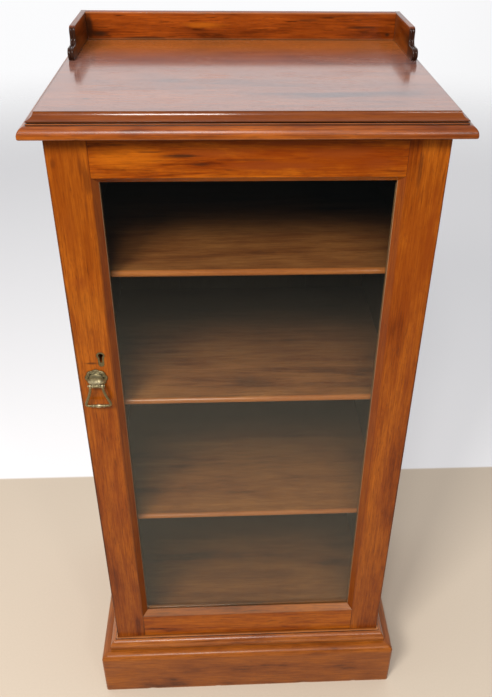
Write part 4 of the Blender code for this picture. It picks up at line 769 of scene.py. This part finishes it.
# %% [markdown]
# The cornice has two parts. The lower strip has a thin rounded nose, a large round above it and a fillet. The top
# board above it has a deep quirk at its foot, then a fillet and a shallow cove that runs up to the top's arris. The
# quirk is the dark line between the two in the photograph. The quirk, the fillet's top and the strip's underside are
# also painted dark: painted shade.

# %% Cornice strips
CORNICE_OUT = FRONT - span("cornice_front")[0][1]
CORNICE_FILLET = 0.0138
NOSE, ROUND_START, ROUND_RISE = 0.0022, 0.0036, 0.0112


def cornice_section(inner):
    """Flat underside, a rounded nose, a quarter ellipse and a fillet."""
    nose = arc((CORNICE_OUT - NOSE, CORNICE_LOW + NOSE), NOSE, -90, 0, 8)
    swell = arc((CORNICE_FILLET, CORNICE_LOW + ROUND_START), (CORNICE_OUT - CORNICE_FILLET, ROUND_RISE), 0, 90, 24)
    ring = eased(outline((inner, CORNICE_LOW), nose, swell, (CORNICE_FILLET, CORNICE_HIGH), (inner, CORNICE_HIGH)),
                 0.0004)
    # Painted shade: the fillet's top, in the quirk, is dark, and the underside is darker.
    edge_values = np.where(ring[:, 1] > CORNICE_HIGH - 0.0002, -1, wear(ring, 0.0013))
    return ring, np.where(ring[:, 1] < CORNICE_LOW + 0.0016, np.minimum(edge_values, -0.12), edge_values)


knocks = [(-0.205, CORNICE_OUT, CORNICE_LOW, 0.003, 0.0007), (0.152, CORNICE_OUT, CORNICE_LOW, 0.004, 0.0006)]
three_runs("cornice_strip", "cornice", cornice_section, "moulding", 5.1, knocks)
print("cornice stands out by", round(CORNICE_OUT * 1000, 1), "mm")

# %% [markdown]
# The top board's edge is worked on the front and both ends, and its back edge is plain. Its grid has a row for each
# step round the board and a column for each point of the edge profile.

# %% Top board
TOP_OUT = span("top_board")[1][0] - HALF
TOP_ARRIS, TOP_ROUND, QUIRK, QUIRK_RISE, FILLET_RISE, COVE_SAG = 0.0042, 0.001, 0.0018, 0.0009, 0.0014, 0.002


def top_profile():
    """Quirk, fillet, a parabola sagged from the fillet's top to a small round at the arris, and eased corners."""
    t = np.linspace(0, 1, 22)
    step, fillet = TOP_LOW + QUIRK_RISE, TOP_LOW + QUIRK_RISE + FILLET_RISE
    chord = np.stack([TOP_OUT + (TOP_ARRIS - TOP_OUT) * t, fillet + (TOP_HIGH - fillet) * t], axis=1)
    lean = np.array([TOP_LOW - TOP_HIGH, TOP_ARRIS - TOP_OUT])
    lean = lean / np.linalg.norm(lean)
    cove = chord + lean * (COVE_SAG * 4 * t * (1 - t))[:, None]
    start = np.degrees(np.arctan2(-lean[1], -lean[0]))
    middle = (TOP_ARRIS - TOP_ROUND * np.tan(np.radians(90 - start) / 2), TOP_HIGH - TOP_ROUND)
    nose = arc(middle, TOP_ROUND, start, 90, 12)
    cove = cove[cove[:, 1] < nose[0, 1] - 0.0003]
    inner = TOP_ARRIS - 0.02
    return eased(outline((inner, TOP_LOW), (TOP_OUT - QUIRK, TOP_LOW), (TOP_OUT - QUIRK, step), (TOP_OUT, step), cove,
                         nose, (inner, TOP_HIGH)), 0.0005)


def board_columns(ring, steps):
    """Carries each profile point round the board: front from left to right, right end, back, left end."""
    reach, front = HALF + ring[:, 0], FRONT - ring[:, 0]
    back = np.full_like(front, BACK)
    corners = np.stack([stacked(x, y) for x, y in (
        (-reach, front), (reach, front), (reach, back), (-reach, back))], axis=1)
    sides = []
    for first, count in enumerate(steps):
        t = np.linspace(0, 1, count, endpoint=False)[None, :, None]
        sides.append(corners[:, first, None] * (1 - t) + corners[:, (first + 1) % 4, None] * t)
    return np.concatenate(sides, axis=1)


ring = top_profile()
# The quirk is painted dark: painted shade between the top board and the cornice strip.
edge_values = np.where(ring[:, 1] < TOP_LOW + QUIRK_RISE + 0.0001, -1, wear(ring, 0.0011))
open_profile = np.flatnonzero(ring[:, 0] > ring[:, 0].min() + 0.001)
order = open_profile[np.argsort(np.where(ring[open_profile, 1] < TOP_LOW + 1e-6, 0, 1), kind="stable")]
flat = board_columns(ring[order], (200, 130, 40, 130)).transpose(1, 0, 2)
points = stacked(flat[..., 0], flat[..., 1], ring[order, 1])
add_piece("top_board_moulded", [(points, edge_values[order][None, :], False)], "top", "carcass",
          ["top_board"])
print("top board's edge has", len(order), "points")

# %% [markdown]
# The gallery is a plain rail with softened top arrises and two shaped ends. An end's front edge swings out in a large
# lobe low down and a small one above it, and a groove along the edge makes two reeds of it, which catch the light.

# %% Gallery rail
low, high = span("gallery_rail")
ring = eased(outline(low[1:], (high[1], low[2]), high[1:], (low[1], high[2])), 0.0016, steps=7)
share = np.linspace(0, 1, 161)
dip = 0.0002 * ripple(share * 2.0, 7.7) * (ring[:, 1] > low[2] + 0.02)[:, None]
points = stacked(low[0] + (high[0] - low[0]) * share, ring[:, :1], ring[:, 1:] - dip)
add_piece("gallery_rail_board", [(points, wear(ring, 0.0012)[:, None], False)], "gallery_x", "carcass",
          ["gallery_rail"])
print("gallery rail is", round((high[2] - low[2]) * 1000, 1), "mm high")

# %% Gallery ends
END_FOOT, END_TOP = 0.151, 0.119
LOWER_LOBE, UPPER_LOBE, LOBE_COVE = 0.0085, 0.0075, 0.008
REED_DEPTH, END_EASING = 0.0013, 0.0012


def end_outline(back, low, high):
    """Side view of a gallery end: a large lobe low in front, a cove over it, a small lobe, and straight edges.

    With it comes where the edge is reeded: 1 round the lobes, fading to 0 over the upper one.
    """
    lower = (back - END_FOOT + LOWER_LOBE, low + LOWER_LOBE)
    upper = (back - END_TOP + UPPER_LOBE, high - UPPER_LOBE)
    cove = (upper[0] - UPPER_LOBE - LOBE_COVE, lower[1] + LOWER_LOBE + LOBE_COVE)
    front = np.concatenate([arc(lower, LOWER_LOBE, 238, 92, 40), arc(cove, LOBE_COVE, 270, 358, 24),
                            arc(upper, UPPER_LOBE, 180, 90, 18)])
    top = stacked(np.linspace(front[-1, 0] + 0.003, back, 24), high)
    foot = stacked(np.linspace(back, front[0, 0], 24), low)
    reeded = np.concatenate([np.ones(64), np.linspace(1, 0, 18), np.zeros(48)])
    return np.concatenate([front, top, foot]), reeded[:, None]


def gallery_end(side):
    """Carries the outline across the thickness, drawn in by a depth that is two half rounds where it is reeded."""
    low, high = span("gallery_end_" + side)
    ring, reeded = end_outline(high[1], low[2], high[2])
    inward = sideways(np.roll(ring, -1, axis=0) - np.roll(ring, 1, axis=0))
    v = np.linspace(-1, 1, 41)
    reeds = REED_DEPTH * (1 - np.sqrt(1 - (2 * np.abs(v) - 1) ** 2))
    plain = END_EASING * (1 - np.sqrt(1 - np.clip((np.abs(v) - 0.7) / 0.3, 0, 1) ** 2))
    depth = reeded * reeds + (1 - reeded) * plain
    inside = ring[:, None] + inward[:, None] * depth[..., None]
    # The reeded edge gets negative edge values, which make it darker, and the plain edge positive ones.
    edge_values = reeded * -0.45 + (1 - reeded) * (depth > 0.0002) * 0.5
    points = stacked((low[0] + high[0]) / 2 + v * (high[0] - low[0]) / 2, inside[..., 0],
                     np.clip(inside[..., 1], low[2], high[2]))
    add_piece("gallery_end_reeded_" + side, [(points, edge_values, False)], "gallery_y", "carcass",
              ["gallery_end_" + side])


for side in ("left", "right"):
    gallery_end(side)
print("gallery ends done")

# %% [markdown]
# The drop handle is cast brass. A plate with eight scallops carries a small hood with a bow-shaped lower edge, and a
# barrel holds the pin on which the bail swings. All of it is small, so what counts is its outline and the way its
# raised parts catch the light. The plate is a height above a polar grid. The hood is a section that shrinks towards
# both ends. Barrel, pin and eyes are turned shapes, and the bail is a round section of changing radius along a curve.

# %% Turned shapes
def around(count):
    """Evenly spaced angles round a circle, as a column."""
    return np.linspace(0, 2 * np.pi, count, endpoint=False)[:, None]


def turned(centre, along, radius):
    """Turns a profile about a line along X: a point is the radius times the cosine and sine of the angle."""
    angle = around(40)
    return stacked(centre[0] + along, centre[1] + radius * np.cos(angle), centre[2] + radius * np.sin(angle))


low, high = span("handle_pin")
PIN = (low + high) / 2
PIN_RADIUS, PIN_HEAD, PIN_HALF = 0.0015, 0.0024, (high[0] - low[0]) / 2
head = arc((PIN_HALF - 0.0013, 0.0), (0.0013, PIN_HEAD), 4, 86, 12)
half = np.concatenate([[(PIN_HALF - 0.0013, PIN_RADIUS), (PIN_HALF - 0.0013, PIN_HEAD * 0.98)], head[::-1]])
profile = np.concatenate([half[::-1] * [-1, 1], half])
edge_values = np.clip((profile[:, 1] - PIN_RADIUS) / (PIN_HEAD - PIN_RADIUS), 0, 1)
add_piece("handle_pin_turned", [(turned(PIN, *profile.T), edge_values[None, :], False)], "brass", "door",
          ["handle_pin"])
print("pin centre in mm:", np.round(PIN * 1000, 2))

# %% Plate, hood and barrel
PLATE_HALF, PLATE_THICK = (0.0165, 0.015), 0.0022
PLATE_RISE = 0.0088
HOOD_HALF, HOOD_DEEP, HOOD_HIGH, HOOD_LIFT = 0.0122, 0.0108, 0.0084, 0.0045
plate_back = span("handle_backplate")[1][1]


def bell(away, width):
    """A bell curve: 1 at no distance, and about a third at the width."""
    return np.exp(-(away / width) ** 2)


def cast_plate():
    """Scalloped plate as a height over a polar grid.

    The rim's radius grows and shrinks eight times round. The height is the plate's thickness, rounded at the rim,
    plus a dome in the middle, a raised line inside the rim and one small boss in each scallop.
    """
    angle = around(144)
    grow = 0.9 + 0.1 * np.abs(np.cos(4 * angle))
    share = np.concatenate([np.linspace(0.02, 0.97, 12), np.full(6, 1.0), np.linspace(0.985, 0.02, 46)])[None, :]
    share = share * np.ones_like(angle)
    flat = np.concatenate([np.zeros(12), np.linspace(0, 0.7, 6), np.ones(46)])[None, :]
    x, z = PLATE_HALF[0] * share * grow * np.cos(angle), PLATE_HALF[1] * share * grow * np.sin(angle)
    front = flat == 1
    rim = np.sqrt(np.clip(1 - np.clip((share - 0.88) / 0.12, 0, 1) ** 2, 0.3, 1))
    dome = 0.0046 * np.clip(1 - (x / 0.0112) ** 2 - (z / 0.0104) ** 2, 0, 1) ** 0.6
    line = 0.0007 * bell(share - 0.78, 0.035)
    boss = 0.0009 * bell(share - 0.9, 0.05) * np.clip(np.cos(8 * angle), 0, 1) ** 3
    flute = -0.0005 * bell(share - 0.66, 0.05)
    height = PLATE_THICK * np.where(front, rim, flat) * 0.92 + (dome + line + boss + flute) * front
    edge_values = np.where(front, np.clip((line + boss) * 900 + dome * 160 - 0.15 + flute * 1600, -1, 1), -0.3)
    return stacked(PIN[0] + x, plate_back - height, PIN[2] + PLATE_RISE + z), edge_values, False


def hood():
    """Hood over the barrel: a quarter ellipse in side view, hollow below, whose lower edge is a bow in front view."""
    x = np.linspace(-0.985, 0.985, 61)[None, :]
    size = np.sqrt(1 - x ** 2)
    over, under = np.radians(np.linspace(90, 0, 16))[:, None], np.linspace(1, 0, 14)[1:, None]
    depth = HOOD_DEEP * np.concatenate([np.cos(over), under]) * size
    height = np.concatenate([HOOD_HIGH * np.sin(over), 0.003 * np.sin(np.pi * under)]) * size
    lip = np.clip(depth / HOOD_DEEP, 0, 1) ** 3
    height = height + (0.0012 * np.cos(3 * np.pi * x) - 0.0004) * size * lip
    ribs = 0.0003 * np.cos(9 * np.pi * x) * np.sin(np.pi * np.clip(height / HOOD_HIGH, 0, 1)) * size
    edge_values = np.concatenate([0.25 + 0.9 * np.cos(over) ** 6, np.full(under.shape, -0.8)])
    return stacked(PIN[0] + HOOD_HALF * x, plate_back - 0.0019 - depth - ribs * lip,
                   PIN[2] + HOOD_LIFT + height), edge_values, False


def barrel():
    """Round barrel with a bead at each end, bored for the pin, and thus a ring."""
    outer = np.linspace(-1, 1, 33)
    bead = bell(np.abs(outer) - 0.9, 0.12)
    radius = 0.0028 + 0.0003 * bead - 0.0006 * (np.abs(outer) > 0.985)
    profile = np.concatenate([np.stack([0.0065 * outer, radius], 1), [(0.0062, PIN_RADIUS), (-0.0062, PIN_RADIUS)]])
    return turned(PIN, *profile.T), np.concatenate([0.3 + 0.5 * bead, [-1, -1]])[None, :], True


def stem():
    """Square stem that joins the barrel to the plate, with a waist."""
    section = eased(np.array([(-1, -1), (1, -1), (1, 1), (-1, 1)], float), 0.5, steps=5)
    back = np.linspace(0, 1, 9)[None, :]
    waist = 1 - 0.22 * np.sin(np.pi * back)
    y = PIN[1] + 0.0015 + (plate_back - 0.001 - PIN[1] - 0.0015) * back
    x, z = 0.0046 * section[:, :1] * waist, 0.0022 * section[:, 1:] * waist
    return stacked(PIN[0] + x, y, PIN[2] + z), -0.6, False


add_piece("handle_plate_cast", [cast_plate(), hood(), barrel(), stem()], "brass", "door",
          ["handle_backplate"])
print("handle plate done")

# %% Bail
BAIL_HALF, BAIL_DROP, BAIL_RADIUS, BAIL_STEPS = 0.0183, 0.0368, 0.0019, 241
EYE_AT, EYE_RADIUS, EYE_WIDTH = 0.0087, 0.0032, 0.003


def smooth_path(knots, count):
    """A closed-form spline: each stretch is a cubic between two knots with slopes from their neighbours."""
    ahead = np.concatenate([knots[1:], 2 * knots[-1:] - knots[-2:-1]])
    behind = np.concatenate([2 * knots[:1] - knots[1:2], knots[:-1]])
    slope = (ahead - behind) / 2
    place = np.linspace(0, len(knots) - 1, count)
    first = np.minimum(place.astype(int), len(knots) - 2)
    t = (place - first)[:, None]
    h = [2 * t ** 3 - 3 * t ** 2 + 1, t ** 3 - 2 * t ** 2 + t, 3 * t ** 2 - 2 * t ** 3, t ** 3 - t ** 2]
    return h[0] * knots[first] + h[1] * slope[first] + h[2] * knots[first + 1] + h[3] * slope[first + 1]


def bail_bar():
    """Arms and bottom bar: a round section whose radius swells to a bead in the middle and at its two collars."""
    arm = np.array([
        (0.475, 0.035), (0.5, 0.13), (0.56, 0.3), (0.68, 0.5), (0.84, 0.7), (0.955, 0.86), (0.96, 0.945),
        (0.86, 0.985), (0.66, 0.995), (0.44, 1.0), (0.22, 1.0)]) * [BAIL_HALF, -BAIL_DROP]
    path = smooth_path(np.concatenate([arm * [-1, 1], [[0, -BAIL_DROP]], arm[::-1]]), BAIL_STEPS)
    side = sideways(np.gradient(path, axis=0))
    x, bottom = path[:, 0], path[:, 1] < -0.9 * BAIL_DROP
    radius = BAIL_RADIUS + bottom * (0.0011 * bell(x, 0.0038) + 0.0006 * bell(np.abs(x) - 0.0078, 0.0009))
    step = np.arange(BAIL_STEPS)
    radius *= np.sqrt(np.clip(np.minimum(step, step[::-1]) / 4.0, 0.04, 1))
    turn = around(28)
    edge_values = 0.15 + np.clip((radius - BAIL_RADIUS) * 700, 0, 0.7) - 0.5 * (np.cos(turn) < -0.5) * (1 - bottom)
    return stacked(PIN[0] + x + side[:, 0] * radius * np.cos(turn), PIN[1] + radius * np.sin(turn) * 0.95,
                   PIN[2] + path[:, 1] + side[:, 1] * radius * np.cos(turn)), edge_values, False


def eye(sign):
    """Eye of the bail: a ring with rounded faces round the pin."""
    wall = (EYE_RADIUS - PIN_RADIUS) / 2
    x, radius = arc((0, PIN_RADIUS + 0.0001 + wall), (EYE_WIDTH / 2, wall), 0, 345, 24).T
    x = np.sign(x) * (EYE_WIDTH / 2) * np.abs(x / (EYE_WIDTH / 2)) ** 0.6
    edge_values = np.clip((radius - PIN_RADIUS) / (EYE_RADIUS - PIN_RADIUS) * 1.6 - 0.8, -1, 1)
    return turned(PIN + [sign * EYE_AT, 0, 0], x, np.minimum(radius, EYE_RADIUS)), edge_values[None, :], True


add_piece("handle_bail_cast", [bail_bar(), eye(-1), eye(1)], "brass", "handle_bail", ["handle_bail"])
print("bail done")

# %% [markdown]
# Screws and nails are small, but an open door shows them at once. A slotted countersunk head is a height above a
# polar grid: nearly flat, eased at its rim, with a groove straight across. The groove is turned by another angle each
# time, because nobody lines up screws on the inside of a door. Nails and glazing pins are the same without a groove.

# %% Screw heads and nails
HINGE_SCREW_X, HINGE_SCREW_STEP, HINGE_STAGGER = 0.2418, 0.022, 0.003
NAIL_IN, NAIL_HEIGHTS = 0.022, (0.134, 0.423, 0.677, 0.902, 1.117)
PIN_X, PIN_HEIGHTS, PIN_PLACES = 0.192, (0.26, 0.45, 0.64, 0.83, 0.99), (-0.14, -0.045, 0.045, 0.14)
LOWEST_PIN = 0.1922
GROOVE_HALF, GROOVE_DEEP = 0.17, 0.85


def head_grid(centre, axis, sign, radius, rise, turn, slot):
    """A round head on a face across an axis: a shallow dome less a groove along a line turned by an angle."""
    angle = around(40)
    share = np.concatenate([[0.05, 0.95], np.linspace(1, 0.03, 16)])[None, :]
    groove = np.exp(-(share * np.sin(angle - turn) / GROOVE_HALF) ** 6) * slot
    front = np.arange(18)[None, :] > 1
    height = np.where(front, rise * (np.sqrt(np.clip(1.02 - share ** 4, 0, 1)) - GROOVE_DEEP * groove), -0.0004)
    first, second = [other for other in range(3) if other != axis]
    points = np.empty((*height.shape, 3))
    points[..., first] = centre[first] + radius * share * np.cos(angle)
    points[..., second] = centre[second] + radius * share * np.sin(angle)
    points[..., axis] = centre[axis] + sign * height
    return points, np.where(groove > 0.5, -1.0, 0.3 - 0.5 * (share > 0.93)), False


def heads(name, centres, axis, sign, radius, rise, finish_name, body, slot=1.0):
    """One piece of several heads, each with its groove turned by another angle. It says how many there are."""
    parts = [head_grid(centre, axis, sign, radius, rise, 0.7 + 2.3 * number, slot)
             for number, centre in enumerate(centres)]
    add_piece(name, parts, finish_name, body, smooth=70)
    return len(centres)


count = 0
hinge_y = sum(span("hinge_pin_lower"))[1] / 2
middles = [sum(span("hinge_pin_" + place))[2] / 2 for place in ("lower", "upper")]
for body, sign in (("carcass", -1), ("door", 1)):
    centres = [
        (HINGE_SCREW_X + HINGE_STAGGER * (step == 0), hinge_y - sign * 0.00015, middle + HINGE_SCREW_STEP * step)
        for middle in middles for step in (-1, 0, 1)]
    count += heads("hinge_screws_" + body, centres, 1, sign, 0.0031, 0.0001, "brass", body)
low, high = span("lock_case")
corners = [(x, high[1], z) for x in (low[0] + 0.004, high[0] - 0.004) for z in (low[2] + 0.004, high[2] - 0.004)]
count += heads("lock_screws", corners, 1, 1, 0.0021, 0.0006, "steel", "door")
low, high = span("strike_plate")
ends = [(high[0], high[1] - 0.006, z) for z in (low[2] + 0.0035, high[2] - 0.0035)]
count += heads("strike_screws", ends, 0, 1, 0.0018, 0.0002, "brass", "carcass")
boards = [span(f"back_board_{number}") for number in range(1, 5)]
nails = [(x, BACK - 0.00005, z) for low, high in boards for x in (low[0] + NAIL_IN, high[0] - NAIL_IN)
         for z in NAIL_HEIGHTS]
count += heads("back_nails", nails, 1, 1, 0.0024, 0.0001, "steel", "carcass", slot=0.0)
pin_y = span("glazing_bead_left")[1][1]
pins = [(side * PIN_X, pin_y, z) for side in (-1, 1) for z in PIN_HEIGHTS]
pins += [(x, pin_y, z) for x in PIN_PLACES for z in (LOWEST_PIN, span("glazing_bead_top")[0][2] + 0.003)]
count += heads("glazing_pins", pins, 1, 1, 0.0009, 0.0002, "brass", "door", slot=0.0)
print("screws and nails:", count)

# %% Nut behind the handle
door_back = span("door_stile_lock")[1][1]


def disc(section, start, end, ease_by):
    """Carries a section along Y behind the door, between two depths, drawn in near both by a quarter round."""
    share = np.concatenate([np.linspace(0, 0.12, 6), np.linspace(0.88, 1, 6)])
    drawn = 1 - ease_by * (1 - np.sqrt(1 - np.clip(np.abs(share - 0.5) * 2 - 0.76, 0, 0.24) ** 2 / 0.24 ** 2))
    return stacked(PIN[0] + section[:, :1] * drawn, door_back + start + (end - start) * share,
                   PIN[2] + PLATE_RISE + section[:, 1:] * drawn), -0.1, False


circle = np.concatenate([np.cos(around(40)), np.sin(around(40))], axis=1)
square = eased(np.array([(-1, -0.8), (0.8, -1), (1, 0.8), (-0.8, 1)]) * 0.0036, 0.0004)
nut_parts = [disc(circle * 0.0052, 0.0, 0.0008, 0.05), disc(square, 0.0008, 0.0032, 0.12),
             disc(circle * 0.0018, 0.003, 0.0048, 0.3)]
add_piece("handle_nut", nut_parts, "brass", "door")
print("nut done")

# %% [markdown]
# The floor is plain and pale, and turns white a little way behind the cabinet, where the photograph has its pale
# wall. There is no wall to stand in the way of a view from behind: the world's own pale light takes its place, and it
# is what the polished top reflects. A dark card behind the camera, seen only in reflections, keeps the upper glass
# dark, as a dim room does.

# %% Floor and card
WALL_LINE, WALL_BLUR = FRONT + 0.57, 0.004
REACH, FADE = 7.0, (2.6, 4.8)
CARD_NEAR, CARD_FAR, CARD_HALF, CARD_HIGH = FRONT - 0.35, FRONT - 2.6, 2.4, 2.2


def floor_finish():
    """Beige in front, white beyond a line, with a faint close speckle. It fades out far from the cabinet."""
    ground = Finish("pale_floor", Roughness=0.9, Specular_IOR_Level=0.1)
    here = ground.here()
    depth = ground.axis(here, 1)
    colour = ground.mix(ground.noise(here, 260.0) * 0.35, (0.56, 0.475, 0.385), (0.455, 0.388, 0.3))
    beyond = ground.between(depth, WALL_LINE - WALL_BLUR, WALL_LINE + WALL_BLUR)
    colour = ground.mix(beyond, colour, (0.81, 0.81, 0.83))
    ground.feed("Base Color", colour)
    ground.feed("Alpha", 1.0 - ground.between(ground.length(here), *FADE))
    return ground


def card_finish():
    """Black that fades in with the distance from the cabinet, so that the reflected floor fades out softly."""
    shade = Finish("dark_card", Base_Color=(0.034, 0.036, 0.038, 1), Roughness=1.0, Specular_IOR_Level=0.0)
    shade.feed("Alpha", shade.between(FRONT - shade.axis(shade.here(), 1), 0.35, 1.9))
    return shade


def flat_sheet(name, corners, finish):
    """A single face between four corners, which isn't part of the cabinet."""
    mesh = bpy.data.meshes.new(name)
    mesh.from_pydata(corners, [], [(0, 1, 2, 3)])
    mesh.materials.append(finish.material)
    sheet = put(name, mesh)
    return sheet


def rectangle(half, start, end):
    """The four corners of a sheet that is centred on X, from a depth and height to another depth and height."""
    return [(-half, *start), (half, *start), (half, *end), (-half, *end)]


flat_sheet("floor", rectangle(REACH, (-REACH, 0), (REACH, 0)), floor_finish())
shade = card_finish()
low_card = flat_sheet("dark_card_low", rectangle(CARD_HALF, (CARD_FAR, 0.02), (CARD_NEAR, 0.02)), shade)
high_card = flat_sheet("dark_card_high", rectangle(CARD_HALF, (CARD_FAR, 0), (CARD_FAR, CARD_HIGH)), shade)
for card in (low_card, high_card):
    for kind in ("visible_camera", "visible_diffuse", "visible_shadow", "visible_transmission"):
        setattr(card, kind, False)
print("floor turns white at y =", round(WALL_LINE, 3))

# %% [markdown]
# The light is that of a pale studio: a large soft source high on the left in front, which reflections don't show, a
# weaker one near the middle and a small one on the right, which give the polish its glints, and the world's even
# light. The world is brighter behind the cabinet and above, as a pale wall is, and darker to the right.

# %% Lights and world
def softbox(name, place, size, power, tint=(1.0, 0.98, 0.95)):
    """A square area light that faces the middle of the door."""
    light = bpy.data.lights.new(name, "AREA")
    light.shape = "SQUARE"
    light.size = size
    light.energy = power
    light.color = tint
    holder = put(name, light)
    holder.location = place
    holder.rotation_euler = (Vector((0, 0, 0.7)) - Vector(place)).to_track_quat("-Z", "Y").to_euler()
    return holder


def clamped(wire, low, high):
    """A wire kept between two values."""
    wire = wire.math("MINIMUM", wire, high)
    return wire.math("MAXIMUM", wire, low)


softbox("key", (-0.95, FRONT - 1.45, 2.3), 0.7, 60.0, (1.0, 0.97, 0.92)).visible_glossy = False
softbox("glint", (-0.27, FRONT - 1.8, 2.7), 0.5, 36.0)
softbox("low_glint", (0.75, FRONT - 1.8, 1.8), 0.25, 6.0)
world = bpy.data.worlds.new("pale_room")
bpy.context.scene.world = world
world.use_nodes = True
room = world.node_tree
facing = room.nodes.new("ShaderNodeTexCoord")
split = room.nodes.new("ShaderNodeSeparateXYZ")
room.links.new(facing.outputs["Generated"], split.inputs[0])
across, depth, rise = (Wire(room, split.outputs[axis]) for axis in range(3))
glow = clamped(0.58 + depth * 0.48 - across * 0.22, 0.34, 1.0)
upper_wall = clamped((rise - 0.19) * 9.0, 0.0, 1.0) * depth.math("MAXIMUM", depth, 0.0)
background = room.nodes["Background"]
plug(room, background.inputs["Strength"], glow + upper_wall * 0.3)
background.inputs["Color"].default_value = (0.97, 0.97, 0.98, 1)
bpy.context.scene.view_settings.view_transform = "Standard"
print("lights placed")

# %% Finish
bpy.context.view_layer.update()
